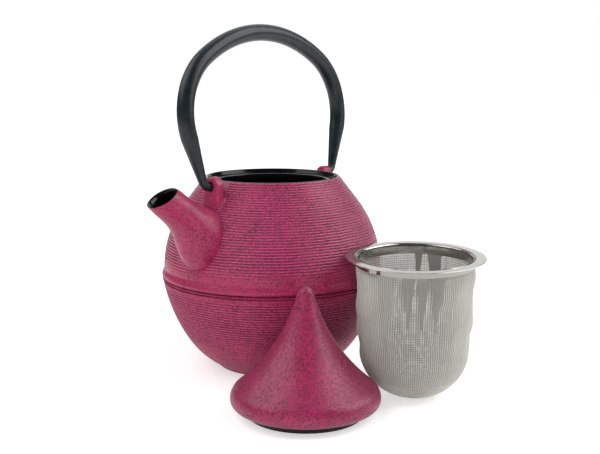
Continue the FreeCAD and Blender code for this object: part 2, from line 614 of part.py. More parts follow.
# The lid: a hollow bell on a locating ring, and the enamel inside it
lid = body_named("lid_body")
lid_profile = outline(sketch_on(lid, "lid_profile"), [
    ("lid_ring_r_iron", None), ("lid_ring_radius", None), ("lid_ring_radius", "lid_under_height"),
    ("lid_under_r", "lid_under_height"), ("lid_radius", "lid_brim_height"), ("brim_end_r", "brim_end_z"),
    ("tip_start_r", "tip_start_z"), (None, "lid_height"), (None, "lid_hollow_top_iron"),
    ("lid_hollow_r_iron", "lid_hollow_top_iron"), ("lid_ring_r_iron", "lid_hollow_z_iron"),
], {3: ("lid_lip_arc", 1), 4: ("lid_brim_arc", 1), 5: ("lid_flare_arc", -1), 6: ("lid_tip_radius", 1),
    9: ("lid_hollow_arc_iron", 1)})
turned(lid, "lid_turned", lid_profile)
stand(lid, "lid")

lid_lining = body_named("lid_enamel_lining")
lid_coat = outline(sketch_on(lid_lining, "lid_coat_profile"), [
    ("lid_ring_r_face", "lid_bare_foot"), ("lid_ring_r_iron", "lid_bare_foot"),
    ("lid_ring_r_iron", "lid_hollow_z_iron"), ("lid_hollow_r_iron", "lid_hollow_top_iron"),
    (None, "lid_hollow_top_iron"), (None, "lid_hollow_top_face"),
    ("lid_hollow_r_face", "lid_hollow_top_face"), ("lid_ring_r_face", "lid_hollow_z_face"),
], {2: ("lid_hollow_arc_iron", -1), 6: ("lid_hollow_arc_face", 1)})
turned(lid_lining, "lid_coat", lid_coat)
stand(lid_lining, "lid")

# The infuser: flange with collar, woven cup and the clamp ring that holds the weave
rim = body_named("infuser_rim")
flange = rim.newObject("PartDesign::Pad", "flange")
flange.Profile = disc_sketch(rim, "flange_profile", "XY_Plane", "flange_radius", "flange_under")
flange.setExpression("Length", "sizes.rim_sheet")
doc.recompute()
collar = rim.newObject("PartDesign::Pad", "collar")
collar.Profile = disc_sketch(rim, "collar_profile", "XY_Plane", "collar_outer", "collar_foot")
collar.setExpression("Length", "sizes.collar_depth")
doc.recompute()
opening = rim.newObject("PartDesign::Pocket", "opening")
opening.Profile = disc_sketch(rim, "opening_profile", "XY_Plane", "collar_inner", "rim_height")
opening.setExpression("Length", "sizes.collar_depth + sizes.rim_sheet")
doc.recompute()
stand(rim, "infuser")

cup = body_named("infuser_mesh_cup")
cup_profile = outline(sketch_on(cup, "cup_profile"), [
    (None, None), ("cup_flat", None), ("cup_low", "cup_corner"), ("cup_radius", "cup_shoulder"),
    ("cup_radius", "cup_top"), ("cup_radius_in", "cup_top"), ("cup_radius_in", "cup_shoulder"),
    ("cup_low_in", "cup_corner"), ("cup_flat", "mesh_thickness"), (None, "mesh_thickness"),
], {1: ("cup_corner", 1), 7: ("cup_corner_in", -1)})
turned(cup, "cup_turned", cup_profile)
window_sketch = sketch_on(cup, "window_profile", "YZ_Plane")
for row in range(window_rows):
    foot_name = "window_foot_%d" % row
    left, right, low = -val("window_right"), val("window_right"), val(foot_name)
    high = low + val("window_tall")
    corners = [FreeCAD.Vector(y, z, 0) for y, z in ((left, low), (right, low), (right, high), (left, high))]
    lines = [Part.LineSegment(corners[side - 1], corners[side]) for side in range(4)]
    first = window_sketch.addGeometry(lines, False)[0]
    for side in range(4):
        ends = (first + side, 2, first + (side + 1) % 4, 1)
        window_sketch.addConstraint(Sketcher.Constraint("Coincident", *ends))
    for way, side in (("Vertical", 0), ("Vertical", 2), ("Horizontal", 3)):
        window_sketch.addConstraint(Sketcher.Constraint(way, first + side))
    window_sketch.addConstraint(Sketcher.Constraint("Symmetric", first + 1, 1, first + 1, 2, -2))
    bind(window_sketch, "DistanceX", first + 1, 2, "window_right")
    bind(window_sketch, "DistanceY", first + 1, 2, foot_name)
    bind(window_sketch, "DistanceY", first + 2, 2, "window_head_%d" % row)
doc.recompute()
windows = cup.newObject("PartDesign::Pocket", "windows")
windows.Profile = window_sketch
windows.Midplane = True
windows.setExpression("Length", "sizes.window_cut")
doc.recompute()
all_windows = cup.newObject("PartDesign::PolarPattern", "all_windows")
all_windows.Originals = [windows]
all_windows.Axis = (plane_of(cup, "Z_Axis"), [""])
all_windows.setExpression("Angle", "sizes.window_turn")
all_windows.setExpression("Occurrences", "sizes.windows_half")
cup.Tip = all_windows
doc.recompute()
stand(cup, "infuser")

clamp = body_named("infuser_clamp_ring")
ring = clamp.newObject("PartDesign::Pad", "ring")
ring.Profile = disc_sketch(clamp, "ring_profile", "XY_Plane", "clamp_outer", "clamp_foot")
ring.setExpression("Length", "sizes.clamp_height")
doc.recompute()
ring_hole = clamp.newObject("PartDesign::Pocket", "ring_hole")
ring_hole.Profile = disc_sketch(clamp, "ring_hole_profile", "XY_Plane", "clamp_inner", "rim_height")
ring_hole.setExpression("Length", "sizes.clamp_depth + sizes.rim_sheet")
doc.recompute()
stand(clamp, "infuser")

for item in doc.Objects:
    for state in item.State:
        if state in ("Invalid", "Error"):
            raise RuntimeError("%s is %s" % (item.Label, state))

os.makedirs("parts", exist_ok=True)
for body in (pot, lining, bail, lid, lid_lining, rim, cup, clamp):
    shape = body.Shape
    if shape.isNull() or not shape.isValid() or not shape.Solids:
        raise RuntimeError("%s has no valid solid" % body.Label)
    shape.exportStep("parts/%s.step" % body.Label)
    print("%-20s %10.1f mm3  %d solid" % (body.Label, shape.Volume, len(shape.Solids)))
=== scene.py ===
# %% [markdown]
# # A cast iron teapot, its lid and its tea infuser
# The solids of the part come in as a fixed frame, and every piece below is a finer skin for one
# of them: ribbed iron, black enamel, bent bar, bright sheet and woven wire. All sizes are written
# in millimetres, as on a drawing, and turned into Blender's metres when a mesh is made.

# %% Load the frame
import math
import bmesh
import bpy
import numpy as np
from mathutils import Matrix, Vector


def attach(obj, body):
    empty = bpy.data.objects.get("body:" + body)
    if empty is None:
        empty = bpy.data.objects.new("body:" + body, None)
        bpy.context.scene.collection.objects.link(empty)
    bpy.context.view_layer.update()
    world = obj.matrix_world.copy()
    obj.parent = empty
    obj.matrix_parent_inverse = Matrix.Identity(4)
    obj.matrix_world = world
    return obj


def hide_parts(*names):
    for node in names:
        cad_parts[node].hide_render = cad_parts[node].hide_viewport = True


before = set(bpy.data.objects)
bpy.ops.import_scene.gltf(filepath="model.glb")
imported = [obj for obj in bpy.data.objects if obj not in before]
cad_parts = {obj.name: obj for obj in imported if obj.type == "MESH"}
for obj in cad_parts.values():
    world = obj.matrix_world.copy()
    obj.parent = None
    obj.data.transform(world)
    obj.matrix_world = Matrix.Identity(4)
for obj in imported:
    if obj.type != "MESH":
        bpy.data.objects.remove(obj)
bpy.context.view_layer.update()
MM = 0.001
print("frame nodes:", sorted(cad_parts))

# %% [markdown]
# ## Tools for the work
# Most of the pot is turned: a half section goes round an axis. The spout and the ears are skinned
# over rings of points. A lathe is only a skin whose rings are circles, so one function makes both,
# and it closes a pole to a single point.

# %% Skin and lathe
def place_object(name, data):
    """Put new data into the scene as an object at the origin."""
    piece = bpy.data.objects.new(name, data)
    bpy.context.collection.objects.link(piece)
    return piece


def skin(name, rings, loop=True, marks=None):
    """Join rings of points, in millimetres, into one mesh; a ring of one point is a pole."""
    starts = np.cumsum([0] + [len(ring) for ring in rings])
    around = max(len(ring) for ring in rings)
    pairs = [(k, k + 1) for k in range(len(rings) - 1)]
    if loop:
        pairs.append((len(rings) - 1, 0))
    faces = []
    for a, b in pairs:
        na, nb = len(rings[a]), len(rings[b])
        for i in range(around):
            j = (i + 1) % around
            corners = (starts[a] + i % na, starts[a] + j % na, starts[b] + j % nb, starts[b] + i % nb)
            face = list(dict.fromkeys(int(c) for c in corners))
            if len(face) > 2:
                faces.append(face)
    mesh = bpy.data.meshes.new(name)
    mesh.from_pydata(np.concatenate(rings) * MM, [], faces)
    for label, values in (marks or {}).items():
        layer = mesh.attributes.new(label, "FLOAT", "POINT")
        layer.data.foreach_set("value", np.repeat(values, [len(ring) for ring in rings]).astype(np.float32))
    return place_object(name, mesh)


def lathe(name, section, around, place=(0, 0), loop=True, marks=None):
    """Turn a half section of (radius, height) points round a standing axis."""
    turns = np.arange(around) * 2 * math.pi / around
    rings = []
    for r, z in section:
        t = turns if r > 1e-6 else turns[:1]
        rings.append(np.stack([place[0] + r * np.cos(t), place[1] + r * np.sin(t), np.full(len(t), z)], 1))
    return skin(name, rings, loop, marks)


def arc(centre, radius, start, end, steps):
    """Points on an arc of the half section, angles in degrees from level."""
    turns = np.radians(np.linspace(start, end, steps + 1))
    return [(centre[0] + radius * math.cos(a), centre[1] + radius * math.sin(a)) for a in turns]


# %% Finish a mesh and hand it to its body
def outward(piece):
    """Turn the faces of a closed shell outwards."""
    shell = bmesh.new()
    shell.from_mesh(piece.data)
    bmesh.ops.recalc_face_normals(shell, faces=shell.faces)
    shell.to_mesh(piece.data)
    shell.free()


def settle(piece):
    """Make the result of a piece's modifiers its own plain mesh."""
    graph = bpy.context.evaluated_depsgraph_get()
    mesh = bpy.data.meshes.new_from_object(piece.evaluated_get(graph))
    piece.modifiers.clear()
    piece.data = mesh
    mesh.name = piece.name


def points_of(piece):
    """Places of a mesh's points, in millimetres, one row for each."""
    place = np.empty(len(piece.data.vertices) * 3)
    piece.data.vertices.foreach_get("co", place)
    return place.reshape(-1, 3) / MM


def move_points(piece, place):
    """Put the points of a mesh at new places, in millimetres."""
    piece.data.vertices.foreach_set("co", (place * MM).ravel())
    piece.data.update()


def hand_over(piece, body, node, finish, crease):
    """Give a piece its finish and its body, and let it stand for its node."""
    piece.data.shade_smooth()
    piece.data.set_sharp_from_angle(angle=math.radians(crease))
    piece.data.materials.clear()
    piece.data.materials.append(finish)
    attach(piece, body)
    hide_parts(node)
    print(piece.name, "on", body, "-", sum(len(p.vertices) - 2 for p in piece.data.polygons), "triangles")


# %% Add a node
def add(tree, kind, inputs=None, **settings):
    """Add one node with its settings; an input is a plain value or a socket to link."""
    made = tree.nodes.new(kind)
    for name, value in settings.items():
        setattr(made, name, value)
    for name, value in (inputs or {}).items():
        if isinstance(value, bpy.types.NodeSocket):
            tree.links.new(value, made.inputs[name])
        else:
            made.inputs[name].default_value = value
    return made


def linear(code):
    """sRGB hex to the linear colour that a socket takes."""
    parts = [int(code[k:k + 2], 16) / 255 for k in (1, 3, 5)]
    return tuple(p / 12.92 if p <= 0.04045 else ((p + 0.055) / 1.055) ** 2.4 for p in parts) + (1.0,)


def new_finish(name):
    """Start a material, and give its tree, its shader and its Object coordinates."""
    finish = bpy.data.materials.new(name)
    finish.use_nodes = True
    tree = finish.node_tree
    return finish, tree, tree.nodes["Principled BSDF"], add(tree, "ShaderNodeTexCoord").outputs["Object"]


# %% [markdown]
# ## Raspberry paint on cast iron
# The iron is sand cast, so its skin is slightly pitted. Satin paint is wiped over a dark ground: it stays on
# the high places, and the dark ground shows in the pits. The ribs' grooves are darkened in the colour, partly
# as that dark ground and partly as painted shade, and their crests are lightened, partly as wear and partly
# as a painted highlight. A bitmap could hold that, but noise in Object coordinates has no seams on a turned
# shape, and the attributes that the ribs leave on the mesh say where a groove is darkened and where a crest
# is lightened. The bowl is a little duller than the rest, and an attribute says that too.

# %% Raspberry paint on cast iron: satin, dark in every pit, dark ground and painted shade in every groove
raspberry, tree, shader, coords = new_finish("raspberry_paint_on_cast_iron")
# The sand leaves a grain of about 0.3 mm; drawn at 0.8 mm so that it shows.
grain = add(tree, "ShaderNodeTexNoise", {"Vector": coords, "Scale": 1 / (0.8 * MM), "Detail": 1.0})
# Pits of the casting are about a millimetre wide; drawn at 1.8 mm, with smaller ones beside them.
pits = add(tree, "ShaderNodeTexNoise", {"Vector": coords, "Scale": 1 / (1.8 * MM), "Detail": 3.0,
                                        "Roughness": 0.65})
# Wiping leaves clouds of thicker and thinner paint about 14 mm wide.
clouds = add(tree, "ShaderNodeTexNoise", {"Vector": coords, "Scale": 1 / (14 * MM), "Detail": 3.0})
# The comb skips on the sand, so the dark of a groove is broken every few millimetres.
skips = add(tree, "ShaderNodeTexNoise", {"Vector": coords, "Scale": 1 / (2.2 * MM), "Detail": 1.0})
# Painted shade: grooves and the bead's lines are darkened in the colour, partly the dark ground and partly
# the shade that falls in them.
groove = add(tree, "ShaderNodeAttribute", attribute_name="groove").outputs["Fac"]
held = add(tree, "ShaderNodeMapRange", {0: skips.outputs["Fac"], 1: 0.36, 2: 0.62, 3: 0.5, 4: 1.3})
dark = add(tree, "ShaderNodeMath", {0: groove, 1: held.outputs[0]}, operation="MULTIPLY", use_clamp=True)
thin = add(tree, "ShaderNodeMapRange", {0: clouds.outputs["Fac"], 1: 0.35, 2: 0.65, 3: 0.0, 4: 1.0})
worn = add(tree, "ShaderNodeMapRange", {0: clouds.outputs["Fac"], 1: 0.35, 2: 0.65, 3: 0.5, 4: 0.95})
dust = add(tree, "ShaderNodeMapRange", {0: grain.outputs["Fac"], 1: 0.45, 2: 0.7, 3: 0.0, 4: 0.85})
hole = add(tree, "ShaderNodeMapRange", {0: pits.outputs["Fac"], 1: 0.55, 2: 0.64, 3: 0.0, 4: 1.0})
hole = add(tree, "ShaderNodeMath", {0: hole.outputs[0], 1: worn.outputs[0]}, operation="MULTIPLY")
speck = add(tree, "ShaderNodeMath", {0: dust.outputs[0], 1: hole.outputs[0]}, operation="MAXIMUM")
coat = add(tree, "ShaderNodeMix", {0: thin.outputs[0], 6: linear("#AE275B"), 7: linear("#9E214F")},
           data_type="RGBA")
# Painted highlight: rib crests are lightened toward #C74878, partly as rubbed wear and partly as the light
# that catches the ridges.
crest = add(tree, "ShaderNodeAttribute", attribute_name="crest").outputs["Fac"]
crest_lift = add(tree, "ShaderNodeMapRange", {0: skips.outputs["Fac"], 1: 0.36, 2: 0.62, 3: 0.45, 4: 0.9})
crest_lift = add(tree, "ShaderNodeMath", {0: crest, 1: crest_lift.outputs[0]}, operation="MULTIPLY")
crest_wear_and_highlight = add(tree, "ShaderNodeMix", {0: crest_lift.outputs[0], 6: coat.outputs[2], 7: linear("#C74878")},
             data_type="RGBA")
groove_ground_and_shade = add(tree, "ShaderNodeMix", {0: dark.outputs[0], 6: crest_wear_and_highlight.outputs[2], 7: linear("#66163A")},
            data_type="RGBA")
skin_colour = add(tree, "ShaderNodeMix", {0: speck.outputs[0], 6: groove_ground_and_shade.outputs[2], 7: linear("#38081A")},
                  data_type="RGBA")
ground = add(tree, "ShaderNodeMath", {0: dark.outputs[0], 1: speck.outputs[0]}, operation="MAXIMUM")
tree.links.new(skin_colour.outputs[2], shader.inputs["Base Color"])
shader.inputs["Specular IOR Level"].default_value = 0.5
dull = add(tree, "ShaderNodeAttribute", attribute_name="dull").outputs["Fac"]
gloss = add(tree, "ShaderNodeMapRange", {0: ground.outputs[0], 1: 0.0, 2: 1.0, 3: 0.34, 4: 0.55})
gloss = add(tree, "ShaderNodeMath", {0: dull, 1: 0.16, 2: gloss.outputs[0]}, operation="MULTIPLY_ADD")
tree.links.new(gloss.outputs[0], shader.inputs["Roughness"])
relief = add(tree, "ShaderNodeBump", {"Strength": 0.4, "Distance": 0.12 * MM, "Height": pits.outputs["Fac"]},
             invert=True)
tree.links.new(relief.outputs[0], shader.inputs["Normal"])
print("finish:", raspberry.name)

# %% [markdown]
# ## Black enamel
# Enamel is glass melted onto the iron. It covers the inside of the pot, the throat, the face of
# the spout and the underside of the lid. It is nearly black with a clear gloss, and it keeps the
# slow waves of the melt, which a low bump of wide noise gives.

# %% Black enamel: deep, wet gloss with slow waves
enamel, tree, shader, coords = new_finish("black_enamel")
shader.inputs["Base Color"].default_value = linear("#0A0B0D")
shader.inputs["Specular IOR Level"].default_value = 0.28
waves = add(tree, "ShaderNodeTexNoise", {"Vector": coords, "Scale": 1 / (5 * MM), "Detail": 1.0})
relief = add(tree, "ShaderNodeBump", {"Strength": 0.2, "Distance": 0.1 * MM, "Height": waves.outputs["Fac"]})
tree.links.new(relief.outputs[0], shader.inputs["Normal"])
melt = add(tree, "ShaderNodeMapRange", {0: waves.outputs["Fac"], 1: 0.3, 2: 0.7, 3: 0.12, 4: 0.2})
tree.links.new(melt.outputs[0], shader.inputs["Roughness"])
print("finish:", enamel.name)

# %% Satin black paint on cast iron: a soft sheen over a skin of fine dimples
satin_black, tree, shader, coords = new_finish("satin_black_paint_on_cast_iron")
dimples = add(tree, "ShaderNodeTexNoise", {"Vector": coords, "Scale": 1 / (1.4 * MM), "Detail": 3.0})
swell = add(tree, "ShaderNodeTexNoise", {"Vector": coords, "Scale": 1 / (9 * MM), "Detail": 1.0})
wear = add(tree, "ShaderNodeMapRange", {0: swell.outputs["Fac"], 1: 0.35, 2: 0.65, 3: 0.0, 4: 1.0})
tone = add(tree, "ShaderNodeMix", {0: wear.outputs[0], 6: linear("#11181C"), 7: linear("#192126")},
           data_type="RGBA")
tree.links.new(tone.outputs[2], shader.inputs["Base Color"])
shader.inputs["Specular IOR Level"].default_value = 0.36
sheen = add(tree, "ShaderNodeMapRange", {0: dimples.outputs["Fac"], 1: 0.3, 2: 0.7, 3: 0.28, 4: 0.4})
tree.links.new(sheen.outputs[0], shader.inputs["Roughness"])
relief = add(tree, "ShaderNodeBump", {"Strength": 0.3, "Distance": 0.12 * MM,
                                      "Height": dimples.outputs["Fac"]})
tree.links.new(relief.outputs[0], shader.inputs["Normal"])
print("finish:", satin_black.name)

# %% [markdown]
# ## Stainless steel
# The infuser's rings are bright rolled sheet, spun on a lathe, so faint lines run round them. The
# lines depend only on the distance from the infuser's axis and on the height, so the noise is read
# at those two numbers. The wire of the cup is drawn steel, duller than the sheet, and light that is
# scattered among the wires makes the weave paler than one bare wire, so it is not a full metal.

# %% Spun stainless sheet: mirror-like with faint lines round the axis
INFUSER = (-2.509, 122.515)
spun_steel, tree, shader, coords = new_finish("spun_stainless_sheet")
shader.inputs["Metallic"].default_value = 1.0
middle = add(tree, "ShaderNodeMapping", {"Vector": coords,
                                         "Location": (-INFUSER[0] * MM, -INFUSER[1] * MM, 0)})
split = add(tree, "ShaderNodeSeparateXYZ", {0: middle.outputs[0]})
flat = add(tree, "ShaderNodeCombineXYZ", {"X": split.outputs["X"], "Y": split.outputs["Y"]})
reach = add(tree, "ShaderNodeVectorMath", {0: flat.outputs[0]}, operation="LENGTH").outputs["Value"]
track = add(tree, "ShaderNodeCombineXYZ", {"X": reach, "Y": split.outputs["Z"]})
lines = add(tree, "ShaderNodeTexNoise", {"Vector": track.outputs[0], "Scale": 1 / (0.7 * MM), "Detail": 2.0})
polish = add(tree, "ShaderNodeMapRange", {0: lines.outputs["Fac"], 1: 0.3, 2: 0.7, 3: 0.09, 4: 0.17})
# Painted shade: the collar's colour is darkened for the shade under the flange and the dark front that its
# wall mirrors; the buffed flange outside it and the ring inside it stay bright.
past_ring = add(tree, "ShaderNodeMapRange", {0: reach, 1: 38.3 * MM, 2: 38.6 * MM, 3: 0.0, 4: 1.0})
to_flange = add(tree, "ShaderNodeMapRange", {0: reach, 1: 39.5 * MM, 2: 40.1 * MM, 3: 1.0, 4: 0.0})
collar_shade = add(tree, "ShaderNodeMath", {0: past_ring.outputs[0], 1: to_flange.outputs[0]},
                 operation="MULTIPLY")
sheet = add(tree, "ShaderNodeMix", {0: collar_shade.outputs[0], 6: linear("#BAB9B3"), 7: linear("#94938E")},
            data_type="RGBA")
tree.links.new(sheet.outputs[2], shader.inputs["Base Color"])
tree.links.new(polish.outputs[0], shader.inputs["Roughness"])
relief = add(tree, "ShaderNodeBump", {"Strength": 0.15, "Distance": 0.03 * MM,
                                      "Height": lines.outputs["Fac"]})
tree.links.new(relief.outputs[0], shader.inputs["Normal"])
print("finish:", spun_steel.name)

# %% Drawn steel wire: grey, softly bright, a little uneven from wire to wire
steel_wire, tree, shader, coords = new_finish("drawn_stainless_wire")
shader.inputs["Metallic"].default_value = 0.7
patches = add(tree, "ShaderNodeTexNoise", {"Vector": coords, "Scale": 1 / (7 * MM), "Detail": 2.0})
tint = add(tree, "ShaderNodeMix", {0: patches.outputs["Fac"], 6: linear("#E2E0DA"), 7: linear("#F0EEE8")},
           data_type="RGBA")
# Painted shade: every second wire is darker, standing in for the shade among the woven wires, so that the
# weave shows at this size.
second = add(tree, "ShaderNodeAttribute", attribute_name="second").outputs["Fac"]
shade = add(tree, "ShaderNodeMix", {0: second, 6: tint.outputs[2], 7: linear("#BAB8B2")}, data_type="RGBA")
tree.links.new(shade.outputs[2], shader.inputs["Base Color"])
shader.inputs["Roughness"].default_value = 0.72
print("finish:", steel_wire.name)

# %% Doubled weave: the same wire, painted greyer as shade for the light lost between its two layers
shaded_double_wire, tree, shader, coords = new_finish("doubled_stainless_weave")
shader.inputs["Metallic"].default_value = 0.7
shader.inputs["Base Color"].default_value = linear("#C6C4BE")
shader.inputs["Roughness"].default_value = 0.72
print("finish:", shaded_double_wire.name)

# %% [markdown]
# ## The ribs
# The casting carries fine combed ribs, about two millimetres apart, that fade out to a smooth band
# at the belt. They could be drawn into the section before it is turned, but a rule with a few named
# sizes is easier to change: Geometry Nodes read how far each point lies along the wall, press a
# groove at every pitch, and leave the groove's depth on the mesh for the paint.

# %% Start and end a node tree
def new_tree(name, *sizes):
    """Start a Geometry Nodes tree with named sizes, and give the tree and its inputs."""
    tree = bpy.data.node_groups.new(name, "GeometryNodeTree")
    tree.interface.new_socket("Geometry", in_out="INPUT", socket_type="NodeSocketGeometry")
    for label, kind, value in sizes:
        socket = tree.interface.new_socket(label, in_out="INPUT", socket_type="NodeSocket" + kind)
        socket.default_value = value
    tree.interface.new_socket("Material", in_out="INPUT", socket_type="NodeSocketMaterial")
    tree.interface.new_socket("Geometry", in_out="OUTPUT", socket_type="NodeSocketGeometry")
    return tree, add(tree, "NodeGroupInput").outputs


def end_tree(tree, given, shape):
    """Make a tree's shape plain mesh in the given material, and hand it out."""
    solid = add(tree, "GeometryNodeRealizeInstances", {"Geometry": shape}).outputs[0]
    dressed = add(tree, "GeometryNodeSetMaterial", {"Geometry": solid, "Material": given["Material"]})
    add(tree, "NodeGroupOutput", {"Geometry": dressed.outputs[0]})
    print("tree:", tree.name, "with", len(tree.nodes), "nodes")


# %% Node tree that presses the grooves
ribs, given = new_tree("combed_ribs", ("Pitch", "Float", 2.15), ("Groove", "Float", 0.62),
                       ("Depth", "Float", 0.4), ("First", "Float", 0.0), ("From", "Float", 0.0),
                       ("To", "Float", 1.0), ("Fade in", "Float", 1.0), ("Fade out", "Float", 1.0),
                       ("Bare", "Float", -1.0), ("Wobble", "Float", 0.3), ("Seed", "Float", 1.0))
along = add(ribs, "GeometryNodeInputNamedAttribute", {"Name": "along"}, data_type="FLOAT").outputs[0]
hand = add(ribs, "ShaderNodeTexNoise", {"Scale": 1 / (16 * MM), "W": given["Seed"], "Detail": 2.0},
           noise_dimensions="4D").outputs["Fac"]
sway = add(ribs, "ShaderNodeMapRange", {0: hand, 1: 0.25, 2: 0.75, 3: -0.5, 4: 0.5}, clamp=False).outputs[0]
drift = add(ribs, "ShaderNodeMath", {0: sway, 1: given["Wobble"]}, operation="MULTIPLY").outputs[0]
shifted = add(ribs, "ShaderNodeMath", {0: along, 1: drift}).outputs[0]
counted = add(ribs, "ShaderNodeMath", {0: shifted, 1: given["First"]}, operation="SUBTRACT").outputs[0]
half = add(ribs, "ShaderNodeMath", {0: given["Pitch"], 1: 0.5}, operation="MULTIPLY").outputs[0]
beside = add(ribs, "ShaderNodeMath", {0: counted, 1: half}, operation="PINGPONG").outputs[0]
cut = add(ribs, "ShaderNodeMapRange", {0: beside, 1: 0.0, 2: given["Groove"], 3: 1.0, 4: 0.0},
          interpolation_type="SMOOTHSTEP").outputs[0]
begin = add(ribs, "ShaderNodeMath", {0: given["From"], 1: given["Fade in"]}).outputs[0]
rise = add(ribs, "ShaderNodeMapRange", {0: along, 1: given["From"], 2: begin, 3: 0.0, 4: 1.0},
           interpolation_type="SMOOTHSTEP").outputs[0]
stop = add(ribs, "ShaderNodeMath", {0: given["To"], 1: given["Fade out"]}, operation="SUBTRACT").outputs[0]
fall = add(ribs, "ShaderNodeMapRange", {0: along, 1: stop, 2: given["To"], 3: 1.0, 4: 0.0},
           interpolation_type="SMOOTHSTEP").outputs[0]
press = add(ribs, "ShaderNodeMapRange", {0: hand, 1: 0.3, 2: 0.7, 3: 0.75, 4: 1.15}).outputs[0]
spot = add(ribs, "ShaderNodeSeparateXYZ", {0: add(ribs, "GeometryNodeInputPosition").outputs[0]}).outputs
bearing = add(ribs, "ShaderNodeMath", {0: spot["Y"], 1: spot["X"]}, operation="ARCTAN2").outputs[0]
bearing = add(ribs, "ShaderNodeMath", {0: bearing}, operation="ABSOLUTE").outputs[0]
bare_end = add(ribs, "ShaderNodeMath", {0: given["Bare"], 1: 0.06}).outputs[0]
combed = add(ribs, "ShaderNodeMapRange", {0: bearing, 1: given["Bare"], 2: bare_end, 3: 0.0,
                                          4: 1.0}).outputs[0]
band = add(ribs, "ShaderNodeMath", {0: rise, 1: fall}, operation="MULTIPLY").outputs[0]
band = add(ribs, "ShaderNodeMath", {0: band, 1: combed}, operation="MULTIPLY").outputs[0]
shape = add(ribs, "ShaderNodeMath", {0: band, 1: cut}, operation="MULTIPLY").outputs[0]
share = add(ribs, "ShaderNodeMath", {0: shape, 1: press}, operation="MULTIPLY").outputs[0]
line = add(ribs, "GeometryNodeInputNamedAttribute", {"Name": "line"}, data_type="FLOAT").outputs[0]
dark = add(ribs, "ShaderNodeMath", {0: share, 1: line}, operation="MAXIMUM").outputs[0]
sunk = add(ribs, "ShaderNodeMath", {0: share, 1: given["Depth"]}, operation="MULTIPLY").outputs[0]
metres = add(ribs, "ShaderNodeMath", {0: sunk, 1: -MM}, operation="MULTIPLY").outputs[0]
wall_normal = add(ribs, "GeometryNodeInputNormal").outputs[0]
push = add(ribs, "ShaderNodeVectorMath", {0: wall_normal, "Scale": metres}, operation="SCALE").outputs[0]
ridge = add(ribs, "ShaderNodeMath", {0: 1.0, 1: cut}, operation="SUBTRACT").outputs[0]
ridge = add(ribs, "ShaderNodeMath", {0: ridge, 1: band}, operation="MULTIPLY").outputs[0]
kept = given["Geometry"]
# groove holds the darkening of each groove (dark ground and painted shade); crest holds the lightening of
# each ridge (wear and painted highlight).
for label, value in (("groove", dark), ("crest", ridge)):
    kept = add(ribs, "GeometryNodeStoreNamedAttribute", {"Geometry": kept, "Name": label, "Value": value},
               data_type="FLOAT", domain="POINT").outputs[0]
end_tree(ribs, given, add(ribs, "GeometryNodeSetPosition", {"Geometry": kept, "Offset": push}).outputs[0])


# %% Run a tree on a piece
def grow(piece, tree, **sizes):
    """Run a node tree on a piece with the given sizes and keep the plain mesh that it makes."""
    step = piece.modifiers.new(tree.name, "NODES")
    step.node_group = tree
    for socket in tree.interface.items_tree:
        key = socket.name.lower().replace(" ", "_")
        if socket.in_out == "INPUT" and key in sizes:
            step[socket.identifier] = sizes.pop(key)
    if sizes:
        raise ValueError("no input for %s" % sorted(sizes))
    settle(piece)


# %% [markdown]
# ## The pot's upper half
# The shoulder is an arc that rises from the belt and runs out straight to the mouth. The rows of
# the mesh lie close together at each groove, so a narrow groove keeps its shape with few faces.
# The shell is closed by its inner face, and the spout's bore is cut through it.

# %% Section of the shoulder
BELLY, BELT_TOP, MOUTH, RIM, WALL = 78.8, 72.2, 48.6, 138.8, 3.3
TURN = 1.53 * math.atan2(BELLY - MOUTH, RIM - BELT_TOP)
SHOULDER = ((RIM - BELT_TOP) * math.sin(TURN) - (BELLY - MOUTH) * math.cos(TURN)) / (1 - math.cos(TURN))
CENTRE = BELLY - SHOULDER
ARC_RUN = SHOULDER * TURN
ARC_END = (CENTRE + SHOULDER * math.cos(TURN), BELT_TOP + SHOULDER * math.sin(TURN))
WHOLE_RUN = ARC_RUN + math.hypot(ARC_END[0] - MOUTH, RIM - ARC_END[1])


def shoulder_at(run, depth=0.0):
    """Point of the shoulder a given way up from the belt, sunk into the wall by depth."""
    turn = min(run, ARC_RUN) / SHOULDER
    rest = max(run - ARC_RUN, 0.0)
    return (CENTRE + (SHOULDER - depth) * math.cos(turn) - rest * math.sin(turn),
            BELT_TOP + (SHOULDER - depth) * math.sin(turn) + rest * math.cos(turn))


def comb_rows(first, pitch, start, end):
    """Places for rows of the mesh: eight to a pitch, closest together beside a groove."""
    rows = []
    for k in range(math.floor((start - first) / pitch) - 1, math.ceil((end - first) / pitch) + 2):
        rows += [first + (k + part) * pitch for part in (-0.4, -0.28, -0.16, -0.06, 0.06, 0.16, 0.28, 0.4)]
    return [row for row in rows if start < row < end]


print("shoulder radius %.2f mm, run %.2f mm" % (SHOULDER, WHOLE_RUN))

# %% Turn the upper half
PITCH = 1.95
LAST = WHOLE_RUN - 2.0
runs = [1.0] + comb_rows(LAST, PITCH, 1.4, WHOLE_RUN - 0.9) + [WHOLE_RUN - 0.8]
outer = [shoulder_at(run) for run in runs]
lip = [(79.2, 67.1), (79.9, 67.5), (80.3, 68.2), (80.35, 68.9), (80.2, 69.8), (79.85, 70.8), (79.45, 71.7),
       (79.1, 72.5)]
top = [(48.75, 138.45), (48.45, 138.62), (46.75, 138.62)]
inner = [(46.75, 135.65), (40.05, 135.65), (40.05, 132.4)]
inner += [shoulder_at(run, WALL) for run in np.linspace(ARC_RUN, 0, 12)] + [(75.5, 66.95)]
section = [(77.4, 66.95)] + lip + outer + top + inner
OFF_COMB = -9.0  # mark of a row that the comb doesn't reach
marks = [OFF_COMB] * (len(lip) + 1) + runs + [OFF_COMB] * (len(top) + len(inner))
upper = lathe("pot_upper_half", section, around=224, marks={"along": marks})
outward(upper)
print("upper half:", len(section), "rows")

# %% [markdown]
# ## The spout
# The spout is cast in one with the pot. Its oval sections are given from the tip to the root, and
# a smooth curve through them gives every ring between. The same rings, set in by the wall's
# thickness, make its bore. Its foot ends inside the pot's wall, and so do the feet of the ears.

